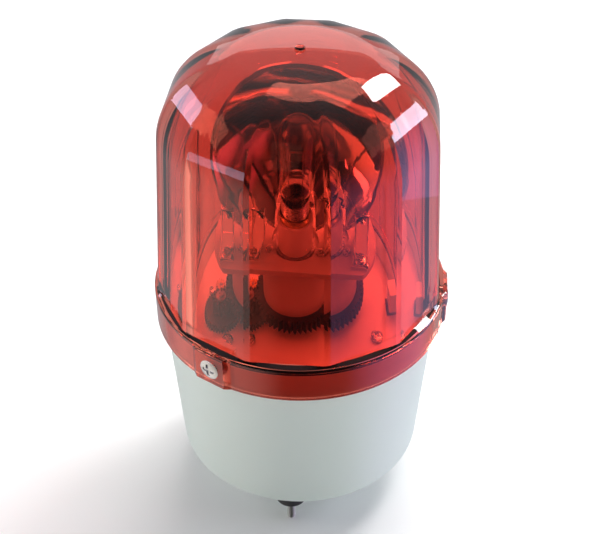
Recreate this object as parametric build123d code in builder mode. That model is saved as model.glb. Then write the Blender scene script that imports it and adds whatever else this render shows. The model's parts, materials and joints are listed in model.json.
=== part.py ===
"""Revolving warning light with a built-in sounder, as separate pieces.

A motor under the white deck turns a compound idler, the idler turns a ring gear, and the ring gear
carries the mirror round a fixed lamp inside the faceted red dome. A sounder speaks through the floor.

Millimetres. The origin is the centre of the mounting plane, which is the undersides of the three rubber
feet. +Z is up. The mirror faces -Y at rest, and one stud stands at the front, on -Y.
"""

import os
from math import acos, asin, atan2, cos, degrees, pi, radians, sin, sqrt, tan

from build123d import *

# ------------------------------------------------------------------------------------ driving sizes
RUN_GAP = 0.05  # radial clearance of a turning fit
PRESS_GAP = 0.01  # radial clearance of a pressed or screwed fit
SLIP_GAP = 0.3  # clearance of pieces that drop into each other

# housing
HOUSING_H = 57.0  # from its underside to the dome's skirt
HOUSING_FOOT_R = 44.2
HOUSING_WALL = 2.2
FLOOR_T = 2.5
HOUSING_EDGE_R = 2.5

# dome
SKIRT_R = 51.0
SKIRT_H = 13.0
SKIRT_WALL = 2.4
SKIRT_EDGE_R = 0.6
LEDGE_T = 2.4
FACETS = 12
DOME_FOOT_APOTHEM = 48.5
DOME_DRAFT = 3.4
DOME_STRAIGHT = 57.6  # from the ledge to the shoulder arc's centre
SHOULDER_R = 29.0
SHOULDER_END = 7.0  # slope at which the facets meet the crown, degrees
CROWN_R = 198.0
DOME_WALL = 2.5
NIPPLE_R = 1.7
NIPPLE_H = 0.9
LUG_W = 12.0
LUG_PROUD = 0.8
GASKET_T = 1.0

# studs and feet
STUD_COUNT = 3
STUD_CIRCLE_R = 36.7
STUD_R = 1.55
STUD_NECK_R = 1.45  # plain neck above the thread, through the foot and the floor
STUD_REACH = 9.4  # below the rubber feet
STUD_HEX = 5.5  # across flats
STUD_HEAD_H = 2.2
STUD_BOSS_R = 5.6
STUD_BOSS_H = 3.6
FOOT_R = 5.65
FOOT_H = 5.6
FOOT_RIM_H = 2.4
FOOT_TIP_R = 3.4
FOOT_EDGE_R = 0.6
STUD_TURN = 30.0  # first stud, degrees from +X

# dome screws
LUG_COUNT = 3
DOME_SCREW_R = 1.75
DOME_SCREW_HEAD_R = 3.6
DOME_SCREW_HEAD_H = 1.9
DOME_SCREW_CROWN = 0.8
DOME_SCREW_L = 12.0
DOME_BOSS_W = 9.0
DOME_BOSS_L = 7.6
DOME_BOSS_H = 7.6

# deck
DECK_T = 2.2
DECK_DROP = 10.8  # from the housing's rim to the deck's underside
DECK_SCREW_R = 1.5
DECK_SCREW_HEAD_R = 2.9
DECK_SCREW_HEAD_H = 1.8
DECK_SCREW_L = 9.0
DECK_POST_R = 3.6
DECK_POSTS = ((31.0, -131.0), (34.5, -30.0), (34.0, 90.0))  # radius, degrees from +X

# lamp column
COLUMN_WALL = 1.1
COLUMN_FOOT_T = 2.0
COLUMN_SHOULDER_W = 1.3
COLUMN_SHOULDER_H = 3.0
COLUMN_H = 38.0  # from the deck
WIRE_WAY_R = 6.0
SOCKET_SEAT = 19.0  # from the deck to the socket's seat in the column
SMALL_SCREW_R = 1.1
SMALL_HEAD_R = 2.0
SMALL_HEAD_H = 1.3
SMALL_SCREW_L = 5.0

# socket and bulb
SOCKET_WALL = 0.6
SOCKET_H = 21.0
SOCKET_EASE = 0.25  # radial clearance round the lamp's cap
INSULATOR_T = 2.0
CAP_R = 7.5
CAP_WALL = 0.4
CAP_H = 15.0
CAP_LIFT = 11.0  # from the socket's seat to the cap's lower edge
PIN_R = 1.0
PIN_LIFT = 6.0
CONTACT_R = 2.6
GLASS_R = 9.25
GLASS_WALL = 0.8
GLASS_SUNK = 5.0  # neck inside the cap
GLASS_H = 31.0  # above the cap
FILAMENT_W = 6.0
FILAMENT_R = 0.55
LEAD_WIRE_R = 0.3

# gears
PRESSURE = radians(25.0)
TOOTH_THIN = 0.05  # taken off each tooth at the pitch circle
RING_MODULE = 0.8
RING_TEETH = 54
PINION_TEETH = 12
WHEEL_MODULE = 0.5
WHEEL_TEETH = 42
RING_FACE = 4.0
WHEEL_FACE = 2.6
IDLER_TURN = -160.0  # direction of the idler from the lamp, degrees from +X
MOTOR_CIRCLE_R = 27.0
IDLER_LIFT = 0.5
IDLER_PIN_R = 1.5
IDLER_BOSS_R = 3.2
IDLER_BOSS_H = 6.5
CLIP_T = 0.7

# rotor
THRUST_T = 0.8
BUSH_WALL = 1.5
BUSH_L = 5.2
HUB_WALL = 1.8
DRUM_R = 18.0
DRUM_WALL = 1.6
DRUM_H = 18.0
DRUM_TOP_T = 2.0
DRUM_SCREWS_R = 15.0
RING_SCREWS_R = 14.9
PLATE_R = 29.0
PLATE_D = 38.0
PLATE_T = 2.0

# mirror
MIRROR_R = 30.0
MIRROR_FOCUS = 14.5
MIRROR_T = 1.5
MIRROR_LIP = 1.5
MIRROR_LIFT = 34.0  # mirror axis above the plate
LEG_X = 20.5
LEG_W = 8.0
LEG_T = 7.0
PAD_L = 15.0
PAD_T = 2.0
MIRROR_SCREW_Y = -13.0

# motor
MOTOR_R = 10.0
MOTOR_L = 25.0
MOTOR_WALL = 1.0
MOTOR_SHAFT_R = 1.0
MOTOR_CAP_T = 3.0
MAGNET_T = 1.6
MAGNET_H = 15.0
MAGNET_SPAN = 116.0
ARMATURE_GAP = 0.5
ARMATURE_H = 13.0
MOTOR_SCREWS_R = 7.0

# sounder
SOUNDER_R = 17.0
SOUNDER_H = 12.0
SOUNDER_WALL = 1.5
DISC_T = 0.4
DISC_LIFT = 4.0
ELEMENT_R = 10.0
ELEMENT_T = 0.3
EAR_X = 21.0
EAR_R = 3.2
EAR_T = 2.5
EAR_LIFT = 4.0
SOUND_HOLE_R = 1.2
SOUND_RINGS = ((0.0, 1), (5.0, 6), (10.0, 12))  # radius, count

# circuit board
BOARD_X = 12.0
BOARD_Y = 7.0
BOARD_W = 40.0
BOARD_D = 38.0
BOARD_T = 1.6
BOARD_DROP = 8.0
BOARD_INSET = 3.0
STANDOFF_R = 2.6

# cable grommet
GROMMET_R = 5.0
GROMMET_FLANGE_R = 6.6
GROMMET_FLANGE_T = 1.4
GROMMET_BORE_R = 3.2
GROMMET_CIRCLE_R = 27.0
GROMMET_TURN = 120.0

# ---------------------------------------------------------------------------------- derived places
z_floor_under = FOOT_H
z_floor = z_floor_under + FLOOR_T
z_skirt = z_floor_under + HOUSING_H
z_ledge = z_skirt + SKIRT_H
z_rim = z_ledge - LEDGE_T - GASKET_T
z_deck_under = z_rim - DECK_DROP
z_deck = z_deck_under + DECK_T
z_screw = (z_skirt + z_ledge) / 2 - 0.3

skirt_bore_r = SKIRT_R - SKIRT_WALL
spigot_r = skirt_bore_r - SLIP_GAP
housing_bore_r = spigot_r - HOUSING_WALL
wall_lean = (spigot_r - HOUSING_FOOT_R) / (z_skirt - z_floor)
deck_r = housing_bore_r - wall_lean * (z_skirt - z_deck_under) - SLIP_GAP
lug_face_r = SKIRT_R + LUG_PROUD

dome_slope = tan(radians(DOME_DRAFT))
z_shoulder = z_ledge + DOME_STRAIGHT
shoulder_x = DOME_FOOT_APOTHEM - dome_slope * DOME_STRAIGHT - SHOULDER_R / cos(radians(DOME_DRAFT))
crown_reach = CROWN_R - SHOULDER_R
z_crown_centre = z_shoulder - sqrt(crown_reach**2 - shoulder_x**2)
z_apex = z_crown_centre + CROWN_R

z_column_foot = z_deck + COLUMN_FOOT_T
z_thrust = z_column_foot + COLUMN_SHOULDER_H
z_hub = z_thrust + THRUST_T + 2 * RUN_GAP
z_column_top = z_deck + COLUMN_H
z_wheel = z_deck + IDLER_LIFT
z_pinion = z_wheel + WHEEL_FACE
z_ring = z_pinion + 0.9
z_drum = z_ring + RING_FACE
z_drum_top = z_drum + DRUM_H
z_plate = z_drum_top + PLATE_T
z_focus = z_plate + MIRROR_LIFT
z_socket = z_deck + SOCKET_SEAT
z_cap = z_socket + CAP_LIFT
z_cap_top = z_cap + CAP_H
z_bulb_top = z_cap_top + GLASS_H
z_clip = z_drum_top + 4 * RUN_GAP

# the column is sized by the socket inside it, and the socket by the lamp's cap
socket_bore_r = CAP_R + SOCKET_EASE
socket_r = socket_bore_r + SOCKET_WALL
column_bore_r = socket_r + RUN_GAP
column_r = column_bore_r + COLUMN_WALL
column_shoulder_r = column_r + COLUMN_SHOULDER_W
column_screws_r = column_shoulder_r + SMALL_HEAD_R - 8 * RUN_GAP
column_foot_r = column_screws_r + SMALL_HEAD_R + 4 * RUN_GAP
glass_neck_r = CAP_R - CAP_WALL - 2 * RUN_GAP
hub_bore_r = column_r + RUN_GAP + BUSH_WALL
hub_r = hub_bore_r + HUB_WALL

ring_pitch_r = RING_MODULE * RING_TEETH / 2
pinion_pitch_r = RING_MODULE * PINION_TEETH / 2
wheel_pitch_r = WHEEL_MODULE * WHEEL_TEETH / 2
motor_pinion_pitch_r = WHEEL_MODULE * PINION_TEETH / 2
idler_circle_r = ring_pitch_r + pinion_pitch_r
motor_reach = wheel_pitch_r + motor_pinion_pitch_r


def polar(radius, turn):
    """Point at a radius and an angle in degrees from +X."""
    return (radius * cos(radians(turn)), radius * sin(radians(turn)))


# the motor stands one gear centre distance from the idler, on its own circle round the lamp
motor_swing = degrees(
    acos((idler_circle_r**2 + MOTOR_CIRCLE_R**2 - motor_reach**2) / (2 * idler_circle_r * MOTOR_CIRCLE_R))
)
idler_xy = polar(idler_circle_r, IDLER_TURN)
motor_xy = polar(MOTOR_CIRCLE_R, IDLER_TURN - motor_swing)
mesh_turn = degrees(atan2(motor_xy[1] - idler_xy[1], motor_xy[0] - idler_xy[0]))
grommet_xy = polar(GROMMET_CIRCLE_R, GROMMET_TURN)
deck_post_xy = [polar(radius, turn) for radius, turn in DECK_POSTS]
column_screw_xy = [polar(column_screws_r, 120 * k + 90) for k in range(3)]
drum_screw_xy = [polar(DRUM_SCREWS_R, 120 * k + 90) for k in range(3)]
ring_screw_xy = [polar(RING_SCREWS_R, 120 * k + 30) for k in range(3)]
mirror_screw_xy = [(-LEG_X, MIRROR_SCREW_Y), (LEG_X, MIRROR_SCREW_Y)]
motor_screw_xy = [
    (motor_xy[0] + dx, motor_xy[1] + dy)
    for dx, dy in (polar(MOTOR_SCREWS_R, mesh_turn + 90), polar(MOTOR_SCREWS_R, mesh_turn - 90))
]
board_screw_xy = [
    (BOARD_X + sx * (BOARD_W / 2 - BOARD_INSET), BOARD_Y + sy * (BOARD_D / 2 - BOARD_INSET))
    for sx in (-1, 1)
    for sy in (-1, 1)
]
ear_xy = [(-EAR_X, 0), (EAR_X, 0)]


def radial_planes(radius):
    """Planes that face outwards at the lugs, on the line of the dome screws."""
    turns = [radians(360 / LUG_COUNT * k) for k in range(LUG_COUNT)]
    return [
        Plane(
            origin=(radius * cos(turn), radius * sin(turn), z_screw),
            x_dir=(-sin(turn), cos(turn), 0),
            z_dir=(cos(turn), sin(turn), 0),
        )
        for turn in turns
    ]


def pan_screws(
    places,
    z_seat,
    way=1,
    head_r=SMALL_HEAD_R,
    head_h=SMALL_HEAD_H,
    shank_r=SMALL_SCREW_R,
    length=SMALL_SCREW_L,
):
    """Cross-headed screws on vertical lines: way is 1 for heads on top and -1 for heads below."""
    with BuildPart() as screws:
        with BuildSketch(Plane.XY.offset(z_seat)):
            with Locations(*places):
                Circle(shank_r)
        extrude(amount=-way * length)
        with BuildSketch(Plane.XY.offset(z_seat)):
            with Locations(*places):
                Circle(head_r)
        extrude(amount=way * head_h)
        rims = screws.edges().filter_by(GeomType.CIRCLE).group_by(Axis.Z)[-1 if way > 0 else 0]
        fillet(rims, head_h * 0.45)
        with BuildSketch(Plane.XY.offset(z_seat + way * head_h)):
            with Locations(*places):
                Rectangle(head_r * 1.2, head_r * 0.28)
                Rectangle(head_r * 0.28, head_r * 1.2)
        extrude(amount=-way * head_h * 0.6, mode=Mode.SUBTRACT)
    return screws


def involute(angle):
    """Roll angle less pressure angle, in radians."""
    return sin(angle) / cos(angle) - angle


def gear_outline(place, module, teeth, tooth_turn):
    """Involute gear of full depth on a plane, with a tooth pointing to tooth_turn, in degrees."""
    pitch_r = module * teeth / 2
    base_r = pitch_r * cos(PRESSURE)
    root_r = pitch_r - 1.25 * module
    tip_r = pitch_r + module
    start_r = max(base_r, root_r)
    half_pitch = pi / (2 * teeth) - TOOTH_THIN / (2 * pitch_r) + involute(PRESSURE)

    def flank(radius, side, middle):
        half = half_pitch - involute(acos(min(1.0, base_r / radius)))
        return polar(radius, degrees(middle + side * half))

    with BuildSketch(place) as outline:
        with BuildLine():
            middles = [radians(tooth_turn) + 2 * pi * k / teeth for k in range(teeth)]
            for middle, following in zip(middles, middles[1:] + [middles[0] + 2 * pi]):
                edges = {
                    side: [flank(r, side, middle) for r in (start_r, (start_r + tip_r) / 2, tip_r)]
                    for side in (-1, 1)
                }
                half_root = half_pitch - involute(acos(min(1.0, base_r / start_r)))
                roots = [polar(root_r, degrees(middle + side * half_root)) for side in (-1, 1)]
                if root_r < base_r:
                    Line(roots[0], edges[-1][0])
                    Line(edges[1][0], roots[1])
                ThreePointArc(*edges[-1])
                Line(edges[-1][2], edges[1][2])
                ThreePointArc(*reversed(edges[1]))
                Line(roots[1], polar(root_r, degrees(following - half_root)))
        make_face()
    return outline.sketch


def standing_ring(place, outer_r, inner_r, height):
    """Plain washer, bush or ring standing on a plane."""
    with BuildPart() as ring:
        with BuildSketch(place):
            Circle(outer_r)
            Circle(inner_r, mode=Mode.SUBTRACT)
        extrude(amount=height)
    return ring


pieces = {}

# ------------------------------------------------------------------------------------ base housing
# a tapered cup whose straight rim is the spigot that the dome's skirt slides over
with BuildPart() as base_housing:
    with BuildSketch(Plane.XZ):
        with BuildLine():
            Polyline(
                (0, z_floor_under),
                (HOUSING_FOOT_R, z_floor_under),
                (spigot_r, z_skirt),
                (spigot_r, z_rim),
                (housing_bore_r, z_rim),
                (housing_bore_r, z_skirt),
                (HOUSING_FOOT_R - HOUSING_WALL, z_floor),
                (0, z_floor),
                close=True,
            )
        make_face()
    revolve(axis=Axis.Z)
    fillet(base_housing.edges().filter_by(GeomType.CIRCLE).group_by(Axis.Z)[0], HOUSING_EDGE_R)
    with BuildSketch(Plane.XY.offset(z_floor)):
        with Locations(*deck_post_xy):
            Circle(DECK_POST_R)
    extrude(amount=z_deck_under - z_floor)
    with BuildSketch(Plane.XY.offset(z_floor)):
        with PolarLocations(STUD_CIRCLE_R, STUD_COUNT, start_angle=STUD_TURN):
            Circle(STUD_BOSS_R)
    extrude(amount=STUD_BOSS_H)
    with BuildSketch(Plane.XY.offset(z_floor)):
        with Locations(*ear_xy):
            Circle(EAR_R)
    extrude(amount=EAR_LIFT)
    with BuildSketch(Plane.XY.offset(z_rim)):
        with PolarLocations(housing_bore_r + HOUSING_WALL / 2 - DOME_BOSS_L / 2, LUG_COUNT):
            Rectangle(DOME_BOSS_L + HOUSING_WALL / 2, DOME_BOSS_W)
    extrude(amount=-DOME_BOSS_H)
    with Locations(*[(x, y, z_deck_under) for x, y in deck_post_xy]):
        Hole(DECK_SCREW_R + PRESS_GAP, DECK_SCREW_L)
    with Locations(*[(x, y, z_floor + EAR_LIFT) for x, y in ear_xy]):
        Hole(SMALL_SCREW_R + PRESS_GAP, SMALL_SCREW_L)
    with Locations(*radial_planes(spigot_r)):
        Hole(DOME_SCREW_R + PRESS_GAP, DOME_SCREW_L)
    with BuildSketch(Plane.XY.offset(z_floor_under)):
        with PolarLocations(STUD_CIRCLE_R, STUD_COUNT, start_angle=STUD_TURN):
            Circle(STUD_R + RUN_GAP)
        with Locations(grommet_xy):
            Circle(GROMMET_R + PRESS_GAP)
        for ring_r, count in SOUND_RINGS:
            with PolarLocations(ring_r, count):
                Circle(SOUND_HOLE_R)
    extrude(amount=FLOOR_T + STUD_BOSS_H, mode=Mode.SUBTRACT)
    with BuildSketch(Plane.XY.offset(z_floor + STUD_BOSS_H)):
        with PolarLocations(STUD_CIRCLE_R, STUD_COUNT, start_angle=STUD_TURN):
            RegularPolygon(STUD_HEX / 2 + RUN_GAP, 6, major_radius=False)
    extrude(amount=-STUD_HEAD_H, mode=Mode.SUBTRACT)
pieces["base_housing"] = base_housing

# ---------------------------------------------------------------------------------- studs and feet
with BuildPart() as mounting_studs:
    with BuildSketch(Plane.XY.offset(z_floor + STUD_BOSS_H - STUD_HEAD_H)):
        with PolarLocations(STUD_CIRCLE_R, STUD_COUNT, start_angle=STUD_TURN):
            RegularPolygon(STUD_HEX / 2, 6, major_radius=False)
    extrude(amount=STUD_HEAD_H)
    with BuildSketch(Plane.XY.offset(-STUD_REACH)):
        with PolarLocations(STUD_CIRCLE_R, STUD_COUNT, start_angle=STUD_TURN):
            Circle(STUD_R)
    extrude(amount=STUD_REACH)
    with BuildSketch():
        with PolarLocations(STUD_CIRCLE_R, STUD_COUNT, start_angle=STUD_TURN):
            Circle(STUD_NECK_R)
    extrude(amount=z_floor + STUD_BOSS_H - STUD_HEAD_H)
    chamfer(mounting_studs.edges().filter_by(GeomType.CIRCLE).group_by(Axis.Z)[0], STUD_R / 4)
pieces["mounting_studs"] = mounting_studs

with BuildPart() as rubber_feet:
    with PolarLocations(STUD_CIRCLE_R, STUD_COUNT, start_angle=STUD_TURN):
        Cone(FOOT_TIP_R, FOOT_R, FOOT_H - FOOT_RIM_H, align=(Align.CENTER, Align.CENTER, Align.MIN))
    with BuildSketch(Plane.XY.offset(FOOT_H - FOOT_RIM_H)):
        with PolarLocations(STUD_CIRCLE_R, STUD_COUNT, start_angle=STUD_TURN):
            Circle(FOOT_R)
    extrude(amount=FOOT_RIM_H)
    lower_rims = rubber_feet.edges().filter_by(GeomType.CIRCLE).group_by(Axis.Z)
    fillet(lower_rims[0] + lower_rims[1], FOOT_EDGE_R)
    with BuildSketch():
        with PolarLocations(STUD_CIRCLE_R, STUD_COUNT, start_angle=STUD_TURN):
            Circle(STUD_R + PRESS_GAP)
    extrude(amount=FOOT_H, mode=Mode.SUBTRACT)
pieces["rubber_feet"] = rubber_feet

# --------------------------------------------------------------------------------- cable grommet
with BuildPart() as cable_grommet:
    with BuildSketch(Plane(origin=(*grommet_xy, 0), x_dir=(1, 0, 0), z_dir=(0, -1, 0))):
        with BuildLine():
            Polyline(
                (GROMMET_BORE_R, z_floor_under - GROMMET_FLANGE_T),
                (GROMMET_FLANGE_R, z_floor_under - GROMMET_FLANGE_T),
                (GROMMET_FLANGE_R, z_floor_under),
                (GROMMET_R, z_floor_under),
                (GROMMET_R, z_floor),
                (GROMMET_FLANGE_R, z_floor),
                (GROMMET_R, z_floor + GROMMET_FLANGE_T),
                (GROMMET_BORE_R, z_floor + GROMMET_FLANGE_T),
                close=True,
            )
        make_face()
    revolve(axis=Axis((*grommet_xy, 0), (0, 0, 1)))
pieces["cable_grommet"] = cable_grommet

# -------------------------------------------------------------------------------------------- dome
# twelve flat sides: six pairs of opposite sides, each pair one long extrusion, cut with each other
shoulder_tangent = Vector(cos(radians(DOME_DRAFT)), sin(radians(DOME_DRAFT)))
shoulder_middle = Vector(cos(radians(45)), sin(radians(45)))
shoulder_finish = Vector(sin(radians(SHOULDER_END)), cos(radians(SHOULDER_END)))
shoulder_centre = Vector(shoulder_x, z_shoulder)
z_dome_foot = z_ledge - LEDGE_T
foot_apothem = DOME_FOOT_APOTHEM + dome_slope * LEDGE_T
shoulder_top = shoulder_centre + shoulder_finish * SHOULDER_R
ridge = (0, shoulder_top.Y + shoulder_top.X * tan(radians(SHOULDER_END)))
crown_turn = asin(shoulder_x / crown_reach)
crown_direction = Vector(sin(crown_turn), cos(crown_turn))

with BuildPart() as dome_lens:
    for pair in range(FACETS // 2):
        turn = 2 * pi * pair / FACETS
        across = Plane(origin=(0, 0, 0), x_dir=(cos(turn), sin(turn), 0), z_dir=(sin(turn), -cos(turn), 0))
        with BuildSketch(across):
            with BuildLine():
                Line((0, z_dome_foot), (foot_apothem, z_dome_foot))
                Line((foot_apothem, z_dome_foot), shoulder_centre + shoulder_tangent * SHOULDER_R)
                ThreePointArc(
                    shoulder_centre + shoulder_tangent * SHOULDER_R,
                    shoulder_centre + shoulder_middle * SHOULDER_R,
                    shoulder_top,
                )
                Line(shoulder_top, ridge)
                Line(ridge, (0, z_dome_foot))
            make_face()
            mirror(about=Plane.YZ)
        extrude(amount=2 * SKIRT_R, both=True, mode=Mode.ADD if pair == 0 else Mode.INTERSECT)
    with BuildSketch(Plane.XZ):
        with BuildLine():
            crown_edge = (SKIRT_R, z_crown_centre + sqrt(CROWN_R**2 - SKIRT_R**2))
            crown_half = (SKIRT_R / 2, z_crown_centre + sqrt(CROWN_R**2 - SKIRT_R**2 / 4))
            Polyline((0, z_apex), (0, z_dome_foot), (SKIRT_R, z_dome_foot), crown_edge)
            ThreePointArc(crown_edge, crown_half, (0, z_apex))
        make_face()
    revolve(axis=Axis.Z, mode=Mode.INTERSECT)
    with BuildSketch(Plane.XY.offset(z_apex - DOME_WALL / 2)):
        Circle(NIPPLE_R)
    extrude(amount=DOME_WALL / 2 + NIPPLE_H)
    fillet(dome_lens.edges().filter_by(GeomType.CIRCLE).group_by(Axis.Z)[-1], NIPPLE_H / 2)
    with BuildSketch(Plane.XZ) as skirt_section:
        with BuildLine():
            Polyline((0, z_skirt), (SKIRT_R, z_skirt), (SKIRT_R, z_ledge), (0, z_ledge), close=True)
        make_face()
        fillet(skirt_section.vertices().sort_by(Axis.X)[-2:], SKIRT_EDGE_R)
    revolve(axis=Axis.Z)
    with BuildSketch(Plane.XY.offset(z_skirt)):
        with PolarLocations((lug_face_r + spigot_r) / 2, LUG_COUNT):
            Rectangle(lug_face_r - spigot_r, LUG_W)
    extrude(amount=SKIRT_H)
    # the round hollow inside, one wall in from the flat sides, and the skirt's bore below it
    inner_shoulder_r = SHOULDER_R - DOME_WALL
    inner_bottom = (DOME_FOOT_APOTHEM - DOME_WALL / cos(radians(DOME_DRAFT)) + dome_slope * LEDGE_T, z_dome_foot)
    inner_crown = shoulder_centre + crown_direction * inner_shoulder_r
    z_inner_apex = z_apex - DOME_WALL
    inner_crown_half = (
        (CROWN_R - DOME_WALL) * sin(crown_turn / 2),
        z_crown_centre + (CROWN_R - DOME_WALL) * cos(crown_turn / 2),
    )
    with BuildSketch(Plane.XZ):
        with BuildLine():
            Line((0, z_inner_apex), (0, z_dome_foot))
            Line((0, z_dome_foot), inner_bottom)
            Line(inner_bottom, shoulder_centre + shoulder_tangent * inner_shoulder_r)
            ThreePointArc(
                shoulder_centre + shoulder_tangent * inner_shoulder_r,
                shoulder_centre + shoulder_middle * inner_shoulder_r,
                inner_crown,
            )
            ThreePointArc(inner_crown, inner_crown_half, (0, z_inner_apex))
        make_face()
    revolve(axis=Axis.Z, mode=Mode.SUBTRACT)
    with BuildSketch(Plane.XY.offset(z_skirt)):
        Circle(skirt_bore_r)
    extrude(amount=z_dome_foot - z_skirt, mode=Mode.SUBTRACT)
    with Locations(*radial_planes(lug_face_r)):
        CounterSinkHole(
            DOME_SCREW_R + RUN_GAP, DOME_SCREW_HEAD_R + RUN_GAP, lug_face_r - skirt_bore_r + SLIP_GAP, 90
        )
pieces["dome_lens"] = dome_lens

with BuildPart() as dome_screws:
    head_cone_h = DOME_SCREW_HEAD_R - DOME_SCREW_R
    for screw_plane in radial_planes(lug_face_r):
        with BuildSketch(screw_plane):
            Circle(DOME_SCREW_R)
        extrude(amount=-DOME_SCREW_L)
        with BuildSketch(screw_plane) as head_face:
            Circle(DOME_SCREW_HEAD_R)
        extrude(amount=-head_cone_h, taper=45)
        with BuildSketch(screw_plane):
            Circle(DOME_SCREW_HEAD_R)
        extrude(amount=DOME_SCREW_CROWN, taper=55)
        with BuildSketch(screw_plane.offset(DOME_SCREW_CROWN)):
            Rectangle(DOME_SCREW_HEAD_R, DOME_SCREW_HEAD_R * 0.24)
            Rectangle(DOME_SCREW_HEAD_R * 0.24, DOME_SCREW_HEAD_R)
        extrude(amount=-DOME_SCREW_HEAD_H, mode=Mode.SUBTRACT)
pieces["dome_screws"] = dome_screws

gasket_bore_r = housing_bore_r + SLIP_GAP
pieces["dome_gasket"] = standing_ring(Plane.XY.offset(z_rim), spigot_r, gasket_bore_r, GASKET_T)

# -------------------------------------------------------------------------------------------- deck
with BuildPart() as chassis_deck:
    with BuildSketch(Plane.XY.offset(z_deck_under)):
        Circle(deck_r)
        with PolarLocations(deck_r - DOME_BOSS_L / 2, LUG_COUNT):
            Rectangle(DOME_BOSS_L + 4 * SLIP_GAP, DOME_BOSS_W + 2 * SLIP_GAP, mode=Mode.SUBTRACT)
    extrude(amount=DECK_T)
    with BuildSketch(Plane.XY.offset(z_deck_under)):
        Circle(column_foot_r)
    extrude(amount=-SMALL_SCREW_L / 2)
    with BuildSketch(Plane.XY.offset(z_deck_under)):
        with Locations(idler_xy):
            Circle(IDLER_BOSS_R)
    extrude(amount=-IDLER_BOSS_H)
    with BuildSketch(Plane.XY.offset(z_deck_under)):
        with Locations(*board_screw_xy):
            Circle(STANDOFF_R)
    extrude(amount=-BOARD_DROP)
    with Locations((0, 0, z_deck)):
        Hole(WIRE_WAY_R)
    with Locations(*[(x, y, z_deck) for x, y in column_screw_xy]):
        Hole(SMALL_SCREW_R + PRESS_GAP)
    with Locations(*[(x, y, z_deck) for x, y in deck_post_xy]):
        Hole(DECK_SCREW_R + RUN_GAP)
    with Locations((*idler_xy, z_deck)):
        Hole(IDLER_PIN_R + PRESS_GAP)
    with Locations((*motor_xy, z_deck)):
        Hole(motor_pinion_pitch_r + WHEEL_MODULE + SLIP_GAP)
    with Locations(*[(x, y, z_deck) for x, y in motor_screw_xy]):
        Hole(SMALL_SCREW_R + RUN_GAP)
    with Locations(*[Location((x, y, z_deck_under - BOARD_DROP), (180, 0, 0)) for x, y in board_screw_xy]):
        Hole(SMALL_SCREW_R + PRESS_GAP, SMALL_SCREW_L)
pieces["chassis_deck"] = chassis_deck
pieces["deck_screws"] = pan_screws(
    deck_post_xy,
    z_deck,
    head_r=DECK_SCREW_HEAD_R,
    head_h=DECK_SCREW_HEAD_H,
    shank_r=DECK_SCREW_R,
    length=DECK_SCREW_L,
)

# ------------------------------------------------------------------------------------- lamp column
with BuildPart() as lamp_column:
    with BuildSketch(Plane.XZ):
        with BuildLine():
            Polyline(
                (WIRE_WAY_R, z_deck),
                (column_foot_r, z_deck),
                (column_foot_r, z_column_foot),
                (column_shoulder_r, z_column_foot),
                (column_shoulder_r, z_thrust),
                (column_r, z_thrust),
                (column_r, z_clip),
                (column_r - CLIP_T, z_clip),
                (column_r - CLIP_T, z_clip + CLIP_T),
                (column_r, z_clip + CLIP_T),
                (column_r, z_column_top),
                (column_bore_r, z_column_top),
                (column_bore_r, z_socket),
                (WIRE_WAY_R, z_socket),
                close=True,
            )
        make_face()
    revolve(axis=Axis.Z)
    with Locations(*[(x, y, z_column_foot) for x, y in column_screw_xy]):
        Hole(SMALL_SCREW_R + RUN_GAP)
        CounterBoreHole(SMALL_SCREW_R + RUN_GAP, SMALL_HEAD_R + RUN_GAP, SMALL_HEAD_H / 2)
pieces["lamp_column"] = lamp_column
pieces["column_screws"] = pan_screws(column_screw_xy, z_column_foot - SMALL_HEAD_H / 2)
pieces["thrust_washer"] = standing_ring(
    Plane.XY.offset(z_thrust), column_r + BUSH_WALL + HUB_WALL / 2, column_r + RUN_GAP, THRUST_T
)

# a spring clip in the column's groove keeps the rotor down
with BuildPart() as retaining_clip:
    with BuildSketch(Plane.XY.offset(z_clip + RUN_GAP)):
        Circle(column_r + BUSH_WALL)
        Circle(column_r - CLIP_T + PRESS_GAP, mode=Mode.SUBTRACT)
        with Locations((0, column_r)):
            Rectangle(column_r, column_r, mode=Mode.SUBTRACT)
    extrude(amount=CLIP_T - 2 * RUN_GAP)
pieces["retaining_clip"] = retaining_clip

# -------------------------------------------------------------------------------- socket and bulb
with BuildPart() as lamp_socket:
    with BuildSketch(Plane.XY.offset(z_socket)):
        Circle(socket_r)
    extrude(amount=SOCKET_H)
    with BuildSketch(Plane.XY.offset(z_socket + SOCKET_WALL)):
        Circle(socket_bore_r)
    extrude(amount=SOCKET_H, mode=Mode.SUBTRACT)
    with Locations((0, 0, z_socket + SOCKET_WALL)):
        Hole(CONTACT_R + SOCKET_WALL)
    with BuildSketch(Plane.XY.offset(z_cap + PIN_LIFT - PIN_R - RUN_GAP)):
        Rectangle(2 * column_r, 2 * (PIN_R + RUN_GAP))
    extrude(amount=SOCKET_H, mode=Mode.SUBTRACT)
pieces["lamp_socket"] = lamp_socket
z_insulator = z_socket + SOCKET_WALL
pieces["socket_insulator"] = standing_ring(
    Plane.XY.offset(z_insulator), socket_bore_r - RUN_GAP, CONTACT_R / 2 + PRESS_GAP, INSULATOR_T
)

with BuildPart() as socket_contact:
    with BuildSketch(Plane.XY.offset(z_socket - SOCKET_WALL)):
        Circle(CONTACT_R / 2)
    extrude(amount=z_insulator + INSULATOR_T - z_socket + SOCKET_WALL)
    with BuildSketch(Plane.XY.offset(z_insulator + INSULATOR_T)):
        Circle(CONTACT_R)
    extrude(amount=z_cap - FILAMENT_R - z_insulator - INSULATOR_T)
pieces["socket_contact"] = socket_contact

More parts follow.
